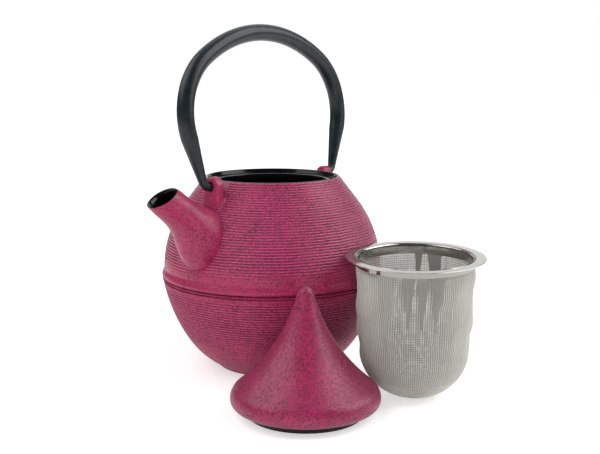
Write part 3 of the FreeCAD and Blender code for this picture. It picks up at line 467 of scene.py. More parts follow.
# %% Rings of the spout
# A section has its places along X and up, its tilt in degrees, half its width and half its height.
SPOUT = np.array([(107.2, 133.3, 62.0, 9.3, 11.8), (97.6, 125.9, 35.0, 10.7, 11.5),
                  (86.1, 116.4, 40.0, 12.9, 13.3), (72.2, 101.5, 26.0, 16.6, 21.4),
                  (62.31, 96.68, 26.0, 16.6, 21.4)])
STATIONS = np.concatenate([[0], np.cumsum(np.hypot(*np.diff(SPOUT[:, :2], axis=0).T))])
SLOPES = np.gradient(SPOUT, STATIONS, axis=0)
ROOT = STATIONS[-1]


def spout_ring(way, inset=0.0, lift=0.0, count=96):
    """Oval ring of the spout a given way from its tip, set in and lifted out along its axis."""
    k = int(np.clip(np.searchsorted(STATIONS, way) - 1, 0, len(STATIONS) - 2))
    step = STATIONS[k + 1] - STATIONS[k]
    t = (way - STATIONS[k]) / step
    blend = np.array([2 * t**3 - 3 * t**2 + 1, -2 * t**3 + 3 * t**2,
                      (t**3 - 2 * t**2 + t) * step, (t**3 - t**2) * step])
    x, z, tilt, across, tall = blend @ np.array([SPOUT[k], SPOUT[k + 1], SLOPES[k], SLOPES[k + 1]])
    tilt = math.radians(tilt)
    turns = np.arange(count) * 2 * math.pi / count
    reach = (tall - inset) * np.cos(turns)
    return np.stack([x + lift * math.cos(tilt) + reach * math.sin(tilt), (across - inset) * np.sin(turns),
                     z + lift * math.sin(tilt) - reach * math.cos(tilt)], 1)


SPOUT_WALL, ENAMEL, SPOUT_SUNK = 2.9, 0.35, 2.6
WAYS = np.linspace(0, ROOT, 84)
# The bore opens in a funnel: ways from the tip, and how far the enamel's face is set in there.
FUNNEL = ((0.1, 0.8), (0.7, 1.5), (1.7, 2.3), (3.2, 2.95), (5.0, SPOUT_WALL + ENAMEL))
print("spout is %.1f mm long" % ROOT)


# %% Fillet and foot of a form that is cast onto the shoulder
def wall_gap(points):
    """Distance of points, in millimetres, outside the smooth shoulder."""
    r = np.hypot(points[:, 0], points[:, 1])
    z = points[:, 2]
    turn = np.arctan2(z - BELT_TOP, r - CENTRE)
    round_part = np.hypot(r - CENTRE, z - BELT_TOP) - SHOULDER
    straight = (r - ARC_END[0]) * math.cos(TURN) + (z - ARC_END[1]) * math.sin(TURN)
    return np.where(turn < TURN, round_part, straight)


def flare(piece, fillet):
    """Spread the foot of a closed piece into a fillet where it meets the shoulder."""
    outward(piece)
    place = points_of(piece)
    normal = np.empty(place.size)
    piece.data.vertices.foreach_get("normal", normal)
    gap = np.clip(wall_gap(place), 0, fillet)
    spread = fillet - np.sqrt(np.maximum(fillet**2 - (fillet - gap)**2, 0))
    move_points(piece, place + normal.reshape(-1, 3) * spread[:, None])
    print(piece.name, "fillet %.1f mm" % fillet)


def bed(piece, deepest):
    """Lift the sunk foot of a piece so that it ends inside the wall and not in the pot."""
    place = points_of(piece)
    r = np.hypot(place[:, 0], place[:, 1])
    turn = np.minimum(np.arctan2(place[:, 2] - BELT_TOP, r - CENTRE), TURN)
    lift = np.maximum(-deepest - wall_gap(place), 0)
    place[:, :2] *= (1 + lift * np.cos(turn) / r)[:, None]
    place[:, 2] += lift * np.sin(turn)
    move_points(piece, place)
    print(piece.name, "lifted by up to %.1f mm" % lift.max())


# %% Cast spout, its bore and the hole in the wall
shell = [spout_ring(way) for way in WAYS[::-1][:-1]]
shell += [spout_ring(0.2), spout_ring(0, 0.15, -0.02)]
shell += [spout_ring(way, inset - ENAMEL) for way, inset in FUNNEL]
shell += [spout_ring(way, SPOUT_WALL) for way in WAYS[9::6]] + [spout_ring(ROOT, SPOUT_WALL)]
spout = skin("spout", shell)
outward(spout)
bed(spout, SPOUT_SUNK)
ends = [spout_ring(way, SPOUT_WALL) for way in (40.0, 48.0, ROOT)] + [spout_ring(ROOT, SPOUT_WALL, -14)]
poles = [ring.mean(0, keepdims=True) for ring in (ends[0], ends[-1])]
bore = skin("bore_cutter", poles[:1] + ends + poles[1:], loop=False)
outward(bore)


def pierce(piece):
    """Cut the spout's bore through a closed shell."""
    step = piece.modifiers.new("bore", "BOOLEAN")
    step.object = bore
    step.solver = "EXACT"
    settle(piece)


pierce(upper)
upper_faces = len(upper.data.polygons)
grow(upper, ribs, pitch=PITCH, first=LAST, depth=0.5, groove=0.78, to=WHOLE_RUN + 1.0, fade_out=0.5,
     bare=math.radians(4), wobble=0.5, seed=3.0, material=raspberry, **{"from": 2.0, "fade_in": 12.0})
print("upper half with", upper_faces, "faces, grooves pressed")
hand_over(upper, "pot", "pot_body", raspberry, crease=50)
hand_over(spout, "pot", "pot_body", raspberry, crease=50)

# %% [markdown]
# ## The lower half
# The bowl hangs under the belt: a bead, two fine lines, then an arc that turns under to the foot.
# It is combed like the shoulder, and the ribs fade before the foot.

# %% Turn the lower half
BOWL, BOWL_AT, HEEL, HEEL_AT = 114.35, (-32.95, 84.58), 60.1, (12.36, 54.82)
BOWL_LEAN, HEEL_LEAN, FOOT_LEAN = (math.radians(lean) for lean in (9.3, 33.3, 59.5))
BOWL_RUN = BOWL * (HEEL_LEAN - BOWL_LEAN)
HEEL_RUN = HEEL * (FOOT_LEAN - HEEL_LEAN)


def bowl_at(run, depth=0.0):
    """Point of the bowl a given way down from the belt."""
    if run < BOWL_RUN:
        turn = BOWL_LEAN + run / BOWL
        return BOWL_AT[0] + (BOWL - depth) * math.cos(turn), BOWL_AT[1] - (BOWL - depth) * math.sin(turn)
    turn = HEEL_LEAN + (run - BOWL_RUN) / HEEL
    return HEEL_AT[0] + (HEEL - depth) * math.cos(turn), HEEL_AT[1] - (HEEL - depth) * math.sin(turn)


LOW_PITCH, LOW_FIRST, LOW_RUN = 1.98, 6.2, BOWL_RUN + HEEL_RUN
low_runs = [2.1, 2.5] + comb_rows(LOW_FIRST, LOW_PITCH, 2.8, 66.0) + list(np.linspace(66.5, LOW_RUN, 8))
bead = [(75.5, 66.8), (78.5, 66.8), (78.7, 66.5), (79.5, 66.2), (79.95, 65.9), (80.05, 65.6), (79.8, 65.35),
        (78.9, 65.15), (78.6, 64.8), (78.7, 64.45), (79.45, 64.25)]
# How dark each point of the bead is: the dark ground and painted shade lie in the two narrow lines beside it.
bead_ground_and_shade = [0.8, 0.8, 0.7, 0.2, 0.0, 0.0, 0.2, 0.7, 0.8, 0.7, 0.1]
foot = [(42.2, 2.3), (41.3, 1.5), (40.5, 0.8), (39.9, 0.3), (39.3, 0.05), (38.8, 0.0), (35.2, 0.0),
        (34.8, 0.4), (34.8, 2.2), (0.0, 2.2)]
floor_in = [(0.0, 7.7), (34.0, 7.7)] + [bowl_at(run, WALL) for run in np.linspace(LOW_RUN - 9, 2, 16)]
section = bead + [bowl_at(run) for run in low_runs] + foot + floor_in
marks = [OFF_COMB] * len(bead) + low_runs + [OFF_COMB] * (len(foot) + len(floor_in))
lines = bead_ground_and_shade + [0.0] * (len(section) - len(bead))
lower = lathe("pot_lower_half", section, around=224,
              marks={"along": marks, "line": lines, "dull": [1.0] * len(section)})
outward(lower)
grow(lower, ribs, pitch=LOW_PITCH, first=LOW_FIRST, depth=0.55, groove=0.86, to=52.0, fade_out=17.0,
     wobble=0.5, seed=8.0, material=raspberry, **{"from": 3.0, "fade_in": 4.0})
hand_over(lower, "pot", "pot_body", raspberry, crease=50)

# %% [markdown]
# ## The ears
# Two ears stand on the shoulder and carry the handle's hooks. Each is a rounded tab with a hole.
# Rings of points run round the tab from its hole to its edge, so the tab, its rounded edges and
# its hole are one closed skin; its foot ends inside the wall and gets a narrow fillet. The far ear
# stands a little lower than the one beside the spout.

# %% Two ears
HINGE, EAR_IN, EAR_OUT, EAR_TOP, EAR_FOOT, EAR_DEEP, EYE = 136.5, 56.0, 64.2, 6.5, 7.9, 24.0, 3.3
EAR_ROUND, EYE_EDGE, FAR_EAR_LOWER, EAR_FILLET, EAR_SUNK = 1.9, 0.45, 2.1, 1.2, 2.0


def tab_reach(angle, top):
    """Distance from the hole's centre to the tab's edge, in a direction from level."""
    side = math.atan2(-EAR_DEEP, EAR_FOOT) + math.acos(top / math.hypot(EAR_DEEP, EAR_FOOT))
    across = abs(math.atan2(math.cos(angle), math.sin(angle)))
    below = math.pi / 2 - across
    if below > side:
        return top
    if math.sin(below) < 0 and EAR_DEEP / -math.sin(below) * math.cos(below) < EAR_FOOT:
        return EAR_DEEP / -math.sin(below)
    return top / math.cos(below - side)


def ear_ring(x, top, inset=0.0, radius=None, count=120):
    """Ring round an ear's hole at x: a circle of the given radius, or the tab's edge set in."""
    turns = np.arange(count) * 2 * math.pi / count
    reach = np.array([radius if radius else max(tab_reach(t, top) - inset, EYE + EYE_EDGE) for t in turns])
    return np.stack([np.full(count, x), reach * np.cos(turns), HINGE + reach * np.sin(turns)], 1)


edge = [(EAR_ROUND - EAR_ROUND * math.cos(a), EAR_ROUND - EAR_ROUND * math.sin(a))
        for a in np.radians(np.linspace(90, 0, 9))]
for name, side, top in (("spout_side_ear", 1, EAR_TOP), ("far_side_ear", -1, EAR_TOP - FAR_EAR_LOWER)):
    rings = [np.array([(EAR_IN + 1.0, 0.0, HINGE)])]
    rings += [ear_ring(x, top, radius=EYE) for x in np.linspace(EAR_IN + 1.0, EAR_OUT - 0.5, 6)]
    rings += [ear_ring(EAR_OUT - 0.12, top, radius=EYE + 0.15), ear_ring(EAR_OUT, top, radius=EYE + 0.4)]
    rings += [ear_ring(EAR_OUT - deep, top, inset) for inset, deep in edge]
    rings += [ear_ring(x, top) for x in np.linspace(EAR_OUT - 2.8, EAR_IN + 2.8, 3)]
    rings += [ear_ring(EAR_IN + deep, top, inset) for inset, deep in edge[::-1]]
    rings += [np.array([(EAR_IN, 0.0, HINGE)])]
    for ring in rings:
        ring[:, 0] *= side
    ear = skin(name, rings, loop=False)
    flare(ear, EAR_FILLET)
    bed(ear, EAR_SUNK)
    hand_over(ear, "pot", "pot_body", raspberry, crease=50)

# %% [markdown]
# ## The black lining
# Enamel covers the rim of the mouth, the step that carries the infuser, the throat and the whole
# inside, and it comes out through the bore to the face of the spout. It is a sheet turned from the
# face that one sees, thickened backwards into the iron.

# %% Lining of the pot
def thicken(piece, thickness):
    """Give a sheet its thickness in millimetres, behind the face that one sees."""
    step = piece.modifiers.new("coat", "SOLIDIFY")
    step.thickness = thickness * MM
    step.offset = -1.0
    settle(piece)


face = [(48.35, 138.62), (48.1, 138.78), (47.2, 138.8), (46.75, 138.72), (46.5, 138.4), (46.45, 136.2),
        (46.2, 135.9), (45.6, 135.8), (40.3, 135.8), (39.8, 135.65), (39.65, 135.2), (39.65, 132.5),
        (39.9, 132.1)]
face += [shoulder_at(run, WALL + ENAMEL) for run in np.linspace(ARC_RUN, 0, 24)] + [(75.15, 66.2)]
face += [bowl_at(run, WALL + ENAMEL) for run in np.linspace(3, LOW_RUN - 9, 24)]
face += [(34.0, 8.3), (28.0, 8.05), (0.0, 8.05)]
lining = lathe("pot_lining", face, around=160, loop=False)
thicken(lining, 0.25)
pierce(lining)
hand_over(lining, "pot", "pot_enamel_lining", enamel, crease=50)

# %% Lining of the spout
COAT, COAT_SUNK = 0.3, 4.0  # thickness of the enamel, and how deep under the shoulder its root ends
face_in = SPOUT_WALL + ENAMEL
back_in = face_in - COAT
coat_rings = [spout_ring(0.25, 0.12), spout_ring(0, 0.2, 0.1)]
coat_rings += [spout_ring(way, inset) for way, inset in FUNNEL]
coat_rings += [spout_ring(way, face_in) for way in WAYS[9::3]] + [spout_ring(ROOT, face_in)]
coat_rings += [spout_ring(ROOT, back_in)] + [spout_ring(way, back_in) for way in WAYS[:8:-3]]
coat_rings += [spout_ring(way, inset - COAT) for way, inset in FUNNEL[::-1]]
spout_lining = skin("spout_lining", coat_rings)
outward(spout_lining)
bed(spout_lining, COAT_SUNK)
hand_over(spout_lining, "pot", "pot_enamel_lining", enamel, crease=60)
bpy.data.objects.remove(bore)

# %% [markdown]
# ## The bail handle
# One bar is bent over the pot: an even crown, round sides, tapered legs and a hook at each end
# that lies in an ear. Its line is made of the same arcs as the drawing. Geometry Nodes turn the
# line into a curve, read a radius at every point and carry a circle along it.

# %% Node tree that makes a bar from a line
bar, given = new_tree("tapered_bar", ("Sides", "Int", 40))
thickness = add(bar, "GeometryNodeInputNamedAttribute", {"Name": "thickness"}, data_type="FLOAT").outputs[0]
line = add(bar, "GeometryNodeMeshToCurve", {"Mesh": given["Geometry"]})
ring = add(bar, "GeometryNodeCurvePrimitiveCircle", {"Resolution": given["Sides"], "Radius": 1.0})
swept = add(bar, "GeometryNodeCurveToMesh", {"Curve": line.outputs[0], "Profile Curve": ring.outputs[0],
                                             "Scale": thickness, "Fill Caps": True})
end_tree(bar, given, swept.outputs[0])

# %% Line of the handle
LEG, SIDE_R, SIDE_Z, BAR_R, HOOK_R = math.radians(17.3), 47.0, 47.0, 5.85, 3.0
BEND_R, BEND_X, CROWN_RISE, LEAN_BACK = 6.0, 64.65, 10.2, math.radians(4.6)
corner = BEND_R / math.tan((math.pi / 2 + LEG) / 2)
leg_foot = BEND_X + corner
leg_start = (leg_foot + corner * math.sin(LEG), corner * math.cos(LEG))
leg_top = SIDE_Z - SIDE_R * math.sin(LEG)
side_x = leg_foot + leg_top * math.tan(LEG) - SIDE_R * math.cos(LEG)
rise = SIDE_Z + SIDE_R + CROWN_RISE
CROWN_R = (side_x**2 + (SIDE_R + CROWN_RISE)**2 - SIDE_R**2) / (2 * CROWN_RISE)
crown_turn = math.atan2(side_x, SIDE_Z - rise + CROWN_R)
half_line = [(x, 0.0) for x in (59.0, 59.3, 59.8, 61.5, 63.5)]
half_line += [(BEND_X + BEND_R * math.sin(a), BEND_R - BEND_R * math.cos(a))
              for a in np.linspace(0, math.pi / 2 - LEG, 9)]
half_line += [(leg_foot + z * math.tan(LEG), z) for z in np.linspace(leg_start[1], leg_top, 14)[1:-1]]
half_line += [(side_x + SIDE_R * math.cos(a), SIDE_Z + SIDE_R * math.sin(a))
              for a in np.linspace(-LEG, math.pi / 2 - crown_turn, 28)]
half_line += [(CROWN_R * math.sin(a), rise - CROWN_R + CROWN_R * math.cos(a))
              for a in np.linspace(crown_turn, 0, 26)[1:]]
taper = [HOOK_R + (BAR_R - HOOK_R) * np.clip((z - leg_start[1]) / (leg_top - leg_start[1]), 0, 1)
         for x, z in half_line]
taper[:2] = [HOOK_R - 0.5, HOOK_R - 0.12]
whole = half_line + [(-x, z) for x, z in half_line[-2::-1]]
thick_line = np.array(taper + taper[-2::-1], np.float32) * MM
mesh = bpy.data.meshes.new("bail_handle")
mesh.from_pydata([(x * MM, -z * math.sin(LEAN_BACK) * MM, (HINGE + z * math.cos(LEAN_BACK)) * MM)
                  for x, z in whole], [(k, k + 1) for k in range(len(whole) - 1)], [])
mesh.attributes.new("thickness", "FLOAT", "POINT").data.foreach_set("value", thick_line)
handle = place_object("bail_bar", mesh)
grow(handle, bar, sides=40, material=satin_black)
hand_over(handle, "handle", "bail_handle", satin_black, crease=60)

# %% [markdown]
# ## The lid
# The lid stands on its ring beside the pot: a bell with a rounded brim, a hollow flare and a ball
# of a top. Each arc is tangent to the next. The bell is one closed turned shell; the enamel on its
# ring and in its hollow is a second, thin one.

# %% Turn the lid
LID = (72.025, 90.548)
LID_R, LID_TOP, BRIM_Z, BRIM_R, TIP_R, FLARE = 47.8, 82.0, 10.8, 10.3, 5.3, 113.0
brim_x, tip_z = LID_R - BRIM_R, LID_TOP - TIP_R
apart = math.hypot(brim_x, tip_z - BRIM_Z)
opening = math.acos(((BRIM_R + FLARE)**2 + apart**2 - (TIP_R + FLARE)**2) / (2 * (BRIM_R + FLARE) * apart))
turn = math.atan2(tip_z - BRIM_Z, -brim_x) - opening
FLARE_AT = (brim_x + (BRIM_R + FLARE) * math.cos(turn), BRIM_Z + (BRIM_R + FLARE) * math.sin(turn))
tip_turn = math.degrees(math.atan2(FLARE_AT[1] - tip_z, FLARE_AT[0]))
brim_turn = math.degrees(turn)
bell = [(0.0, LID_TOP)] + arc((0.0, tip_z), TIP_R, 84, tip_turn, 14)
bell += arc(FLARE_AT, FLARE, 180 + tip_turn, 180 + brim_turn, 40)[1:]
UNDER_R = 5.8  # the brim turns under with a tighter arc
bell += arc((brim_x, BRIM_Z), BRIM_R, brim_turn, 0, 16)[1:]
bell += arc((LID_R - UNDER_R, BRIM_Z), UNDER_R, 0, -84, 12)[1:]
bell += [(41.6, 5.05), (36.9, 5.15), (36.9, 0.4), (36.6, 0.2), (33.6, 0.2), (33.35, 0.4)]


def hollow(wall, ring, top):
    """Arc of the lid's hollow from its ring up to its flat top, a wall's thickness inside the flare."""
    low = math.degrees(math.acos((FLARE_AT[0] - ring) / (FLARE + wall)))
    high = math.degrees(math.asin((FLARE_AT[1] - top) / (FLARE + wall)))
    return arc(FLARE_AT, FLARE + wall, 180 + low, 180 + high, 16)


LID_WALL, RING_IN, HOLLOW_TOP = 3.0, 33.35, 66.0
bell += hollow(LID_WALL, RING_IN, HOLLOW_TOP) + [(0.0, HOLLOW_TOP)]
# The lid has no ribs: its whole paint is mixed evenly toward the groove's dark colour.
lid = lathe("lid_bell", bell, around=160, place=LID, loop=False, marks={"groove": [0.34] * len(bell)})
outward(lid)
hand_over(lid, "lid", "lid_body", raspberry, crease=50)

# %% Enamel of the lid
coat_top, ring_face = HOLLOW_TOP - ENAMEL, RING_IN - ENAMEL
coat = [(0.0, coat_top)] + hollow(LID_WALL + ENAMEL, ring_face, coat_top)[::-1]
coat += [(ring_face, 0.5), (RING_IN, 0.1), (33.8, 0.0), (36.4, 0.0)]
coat += [(36.9, 0.1), (37.1, 0.5), (37.1, 4.6), (37.4, 4.9), (41.2, 4.95)]
lid_lining = lathe("lid_lining", coat, around=128, place=LID, loop=False)
thicken(lid_lining, 0.2)
hand_over(lid_lining, "lid", "lid_enamel_lining", enamel, crease=50)

# %% [markdown]
# ## The infuser's rings
# The rim is one pressed sheet: a flange with a rolled edge that hangs in the pot's mouth, and a
# collar. A second ring is pressed into the collar and clamps the weave. Both are thin closed
# sections turned round the infuser's own axis.

# %% Rim and clamp ring
RIM_Z = 94.1
LEAN_WAY, LEAN = math.radians(33), math.tan(math.radians(2.4))
LEAN_FROM, LEAN_OVER = 55, 30  # the cup stands straight below, and leans more and more above


def sag(piece):
    """Let the upper part of the soft cup lean, as in the photo: lower in front, higher behind."""
    place = points_of(piece)
    forward = (place[:, :2] - INFUSER) @ (math.cos(LEAN_WAY), math.sin(LEAN_WAY))
    place[:, 2] -= forward * LEAN * np.clip((place[:, 2] - LEAN_FROM) / LEAN_OVER, 0, 1)
    move_points(piece, place)


edge = [(38.75, -5.2), (38.75, -1.1), (38.95, -0.5), (39.5, -0.05), (40.2, 0.0), (45.7, 0.0), (46.05, -0.08),
        (46.2, -0.3), (46.05, -0.52), (45.7, -0.6), (40.4, -0.6), (39.8, -0.75), (39.4, -1.2), (39.35, -1.9),
        (39.35, -5.2)]
rim = lathe("infuser_flange", [(r, RIM_Z + z) for r, z in edge], around=160, place=INFUSER)
outward(rim)
sag(rim)
hand_over(rim, "infuser", "infuser_rim", spun_steel, crease=70)
edge = [(37.55, -7.0), (37.55, -0.9), (37.7, -0.4), (38.0, -0.3), (38.15, -0.6), (38.15, -7.1), (37.85, -7.2)]
clamp = lathe("infuser_clamp", [(r, RIM_Z + z) for r, z in edge], around=160, place=INFUSER)
outward(clamp)
sag(clamp)
hand_over(clamp, "infuser", "infuser_clamp_ring", spun_steel, crease=70)

# %% [markdown]
# ## The woven cup
# The cup is fine plain weave, drawn to a cup over a former. A pattern of holes in a sheet would
# look flat at its edge, so every wire is made: a grid is laid on the cup's section, each wire goes
# over one neighbour and under the next, and wires end in turn as the ring narrows to the bottom.
# The real weave has about two wires to a millimetre; four to three millimetres are drawn.

# %% Node tree that weaves wire round a section
weave, given = new_tree("plain_weave", ("Wires", "Int", 240), ("Rows", "Int", 110), ("Across", "Bool", False),
                        ("Pleat", "Bool", False), ("Seed", "Int", 0), ("Stray", "Float", 0.3),
                        ("Wire", "Float", 0.0004), ("Turn", "Float", 0.0), ("Span", "Float", 2 * math.pi),
                        ("Start", "Float", 0.0), ("End", "Float", 0.1), ("Inset", "Float", 0.0),
                        ("Wave", "Float", 0.0), ("Thin out", "Float", 0.03),
                        ("Place", "Vector", (0.0, 0.0, 0.0)))
columns = add(weave, "ShaderNodeMath", {0: given["Wires"], 1: 1.0}).outputs[0]
net = add(weave, "GeometryNodeMeshGrid", {"Size X": 1.0, "Size Y": 1.0, "Vertices X": columns,
                                          "Vertices Y": given["Rows"]}).outputs[0]
ends = add(weave, "GeometryNodeInputMeshEdgeVertices").outputs
tie = add(weave, "ShaderNodeVectorMath", {0: ends["Position 1"], 1: ends["Position 2"]},
          operation="SUBTRACT").outputs[0]
tie_x = add(weave, "ShaderNodeSeparateXYZ", {0: tie}).outputs["X"]
tie_size = add(weave, "ShaderNodeMath", {0: tie_x}, operation="ABSOLUTE").outputs[0]
goes_round = add(weave, "FunctionNodeCompare", {0: tie_size, 1: 1e-5}, operation="GREATER_THAN").outputs[0]
unwanted = add(weave, "FunctionNodeBooleanMath", {0: goes_round, 1: given["Across"]},
               operation="XOR").outputs[0]
wires = add(weave, "GeometryNodeDeleteGeometry", {"Geometry": net, "Selection": unwanted}, domain="EDGE",
            mode="EDGE_FACE").outputs[0]
spot = add(weave, "ShaderNodeSeparateXYZ", {0: add(weave, "GeometryNodeInputPosition").outputs[0]}).outputs
u = add(weave, "ShaderNodeMath", {0: spot["X"], 1: 0.5}).outputs[0]
v = add(weave, "ShaderNodeMath", {0: spot["Y"], 1: 0.5}).outputs[0]
column = add(weave, "ShaderNodeMath", {0: u, 1: given["Wires"]}, operation="MULTIPLY").outputs[0]
column = add(weave, "ShaderNodeMath", {0: column}, operation="ROUND").outputs[0]
last_row = add(weave, "ShaderNodeMath", {0: given["Rows"], 1: 1.0}, operation="SUBTRACT").outputs[0]
row = add(weave, "ShaderNodeMath", {0: v, 1: last_row}, operation="MULTIPLY").outputs[0]
row = add(weave, "ShaderNodeMath", {0: row}, operation="ROUND").outputs[0]
placed = []
for share, count, number in ((u, given["Wires"], column), (v, given["Rows"], row)):
    chance = add(weave, "FunctionNodeRandomValue", {2: -0.5, 3: 0.5, "ID": number,
                                                    "Seed": given["Seed"]}).outputs[1]
    aside = add(weave, "ShaderNodeMath", {0: chance, 1: given["Stray"]}, operation="MULTIPLY").outputs[0]
    aside = add(weave, "ShaderNodeMath", {0: aside, 1: count}, operation="DIVIDE").outputs[0]
    placed.append(add(weave, "ShaderNodeMath", {0: share, 1: aside}).outputs[0])
way = add(weave, "ShaderNodeMapRange", {0: placed[1], 1: 0.0, 2: 1.0, 3: given["Start"],
                                        4: given["End"]}).outputs[0]
print("grid and counting nodes:", len(weave.nodes))

# %% Wires that end early, and pleats
dropped = None
for every, rest, share in ((2.0, 1.0, 1.0), (4.0, 2.0, 0.5), (8.0, 4.0, 0.25)):
    place_in_turn = add(weave, "ShaderNodeMath", {0: column, 1: every}, operation="FLOORED_MODULO").outputs[0]
    its_turn = add(weave, "FunctionNodeCompare", {0: place_in_turn, 1: rest, "Epsilon": 0.1},
                   operation="EQUAL").outputs[0]
    limit = add(weave, "ShaderNodeMath", {0: given["Thin out"], 1: share}, operation="MULTIPLY").outputs[0]
    low = add(weave, "FunctionNodeCompare", {0: way, 1: limit}, operation="LESS_THAN").outputs[0]
    both = add(weave, "FunctionNodeBooleanMath", {0: its_turn, 1: low}, operation="AND").outputs[0]
    dropped = both if dropped is None else add(weave, "FunctionNodeBooleanMath", {0: dropped, 1: both},
                                               operation="OR").outputs[0]
dropped = add(weave, "FunctionNodeBooleanMath", {0: dropped, 1: given["Across"]},
              operation="NIMPLY").outputs[0]
aside = add(weave, "ShaderNodeMath", {0: spot["X"]}, operation="ABSOLUTE").outputs[0]
aside = add(weave, "ShaderNodeMath", {0: aside, 1: 2.0}, operation="MULTIPLY").outputs[0]
past_edge = add(weave, "FunctionNodeCompare", {0: aside, 1: v}, operation="GREATER_THAN").outputs[0]
trimmed = add(weave, "FunctionNodeBooleanMath", {0: past_edge, 1: given["Pleat"]}, operation="AND").outputs[0]
gone = add(weave, "FunctionNodeBooleanMath", {0: dropped, 1: trimmed}, operation="OR").outputs[0]
print("nodes with those that end wires:", len(weave.nodes))

# %% Place the wires on the cup
section_line = add(weave, "GeometryNodeMeshToCurve", {"Mesh": given["Geometry"]}).outputs[0]
on_section = add(weave, "GeometryNodeSampleCurve", {"Curves": section_line, "Length": way}, mode="LENGTH",
                 use_all_curves=True).outputs
slope = add(weave, "ShaderNodeSeparateXYZ", {0: on_section["Tangent"]}).outputs
less = add(weave, "ShaderNodeMath", {0: slope["X"], 1: -1.0}, operation="MULTIPLY").outputs[0]
out = add(weave, "ShaderNodeCombineXYZ", {"X": slope["Z"], "Z": less}).outputs[0]
angle = add(weave, "ShaderNodeMath", {0: placed[0], 1: given["Span"], 2: given["Turn"]},
            operation="MULTIPLY_ADD").outputs[0]
turned = add(weave, "ShaderNodeVectorRotate", {"Vector": on_section["Position"], "Angle": angle},
             rotation_type="Z_AXIS").outputs[0]
turned_out = add(weave, "ShaderNodeVectorRotate", {"Vector": out, "Angle": angle},
                 rotation_type="Z_AXIS").outputs[0]
# Handling leaves shallow dents, about 20 mm wide, in the free part of the wall.
drawn_out = add(weave, "ShaderNodeVectorMath", {0: turned, 1: (0.8, 0.8, 0.75)},
                operation="MULTIPLY").outputs[0]
dents = add(weave, "ShaderNodeTexNoise", {"Vector": drawn_out, "Scale": 1 / (15 * MM),
                                          "Detail": 1.0}).outputs["Fac"]
dents = add(weave, "ShaderNodeMapRange", {0: dents, 1: 0.3, 2: 0.7, 3: -1.0, 4: 1.0}).outputs[0]
height = add(weave, "ShaderNodeSeparateXYZ", {0: on_section["Position"]}).outputs["Z"]
free = add(weave, "ShaderNodeMapRange", {0: height, 1: 26 * MM, 2: 44 * MM, 3: 0.0, 4: 1.0}).outputs[0]
held = add(weave, "ShaderNodeMapRange", {0: height, 1: 78 * MM, 2: 89 * MM, 3: 1.0, 4: 0.0}).outputs[0]
loose = add(weave, "ShaderNodeMath", {0: free, 1: held}, operation="MULTIPLY").outputs[0]
dent = add(weave, "ShaderNodeMath", {0: dents, 1: loose}, operation="MULTIPLY").outputs[0]
dent = add(weave, "ShaderNodeMath", {0: dent, 1: given["Wave"]}, operation="MULTIPLY").outputs[0]
dent = add(weave, "ShaderNodeMath", {0: dent, 1: given["Inset"]}, operation="SUBTRACT").outputs[0]
parity = add(weave, "ShaderNodeMath", {0: column, 1: row}).outputs[0]
parity = add(weave, "ShaderNodeMath", {0: parity, 1: given["Across"]}).outputs[0]
parity = add(weave, "ShaderNodeMath", {0: parity, 1: 2.0}, operation="FLOORED_MODULO").outputs[0]
over = add(weave, "ShaderNodeMapRange", {0: parity, 1: 0.0, 2: 1.0, 3: -0.5, 4: 0.5}).outputs[0]
lift = add(weave, "ShaderNodeMath", {0: over, 1: given["Wire"], 2: dent}, operation="MULTIPLY_ADD").outputs[0]
stand_off = add(weave, "ShaderNodeVectorMath", {0: turned_out, "Scale": lift}, operation="SCALE").outputs[0]
there = add(weave, "ShaderNodeVectorMath", {0: turned, 1: stand_off}).outputs[0]
there = add(weave, "ShaderNodeVectorMath", {0: there, 1: given["Place"]}).outputs[0]
ended = add(weave, "GeometryNodeDeleteGeometry", {"Geometry": wires, "Selection": gone},
            domain="POINT").outputs[0]
# Every second wire is marked, and its finish gives it painted shade.
number = add(weave, "GeometryNodeSwitch", {"Switch": given["Across"], "False": column, "True": row},
             input_type="FLOAT").outputs[0]
second = add(weave, "ShaderNodeMath", {0: number, 1: 2.0}, operation="FLOORED_MODULO").outputs[0]
marked = add(weave, "GeometryNodeStoreNamedAttribute", {"Geometry": ended, "Name": "second", "Value": second},
             data_type="FLOAT", domain="POINT").outputs[0]
laid = add(weave, "GeometryNodeSetPosition", {"Geometry": marked, "Position": there}).outputs[0]
joined = add(weave, "GeometryNodeMergeByDistance", {"Geometry": laid, "Distance": 0.02 * MM}).outputs[0]
lines = add(weave, "GeometryNodeMeshToCurve", {"Mesh": joined}).outputs[0]
radius = add(weave, "ShaderNodeMath", {0: given["Wire"], 1: 0.5}, operation="MULTIPLY").outputs[0]
section_ring = add(weave, "GeometryNodeCurvePrimitiveCircle", {"Resolution": 3, "Radius": radius}).outputs[0]
drawn = add(weave, "GeometryNodeCurveToMesh", {"Curve": lines, "Profile Curve": section_ring}).outputs[0]
end_tree(weave, given, drawn)

# %% Weave the cup
CUP = [(0.0, 0.25), (3.3, 0.25)] + arc((3.3, 33.0), 32.75, -90, 0, 24)[1:]
CUP += [(37.2, 46.0), (37.9, 58.0), (38.3, 72.0), (38.45, 86.3), (38.45, 93.0)]
CUP_RUN = sum(math.dist(a, b) for a, b in zip(CUP, CUP[1:]))


def woven(name, across, **sizes):
    """Weave one set of wires on the cup's half section."""
    mesh = bpy.data.meshes.new(name)
    mesh.from_pydata([(r * MM, 0.0, z * MM) for r, z in CUP], [(k, k + 1) for k in range(len(CUP) - 1)], [])
    piece = place_object(name, mesh)
    grow(piece, weave, across=across, wire=0.5 * MM, end=CUP_RUN * MM, wave=1.6 * MM, thin_out=34 * MM,
         place=(INFUSER[0] * MM, INFUSER[1] * MM, 0), material=steel_wire, **sizes)
    sag(piece)
    return piece


for name, across in (("standing", False), ("level", True)):
    for half in (0, 1):
        wires_piece = woven("cup_%s_wires_%d" % (name, half + 1), across, wires=160, rows=150, start=2.0 * MM,
                            turn=math.pi * half, span=math.pi, seed=half)
        hand_over(wires_piece, "infuser", "infuser_mesh_cup", steel_wire, crease=180)

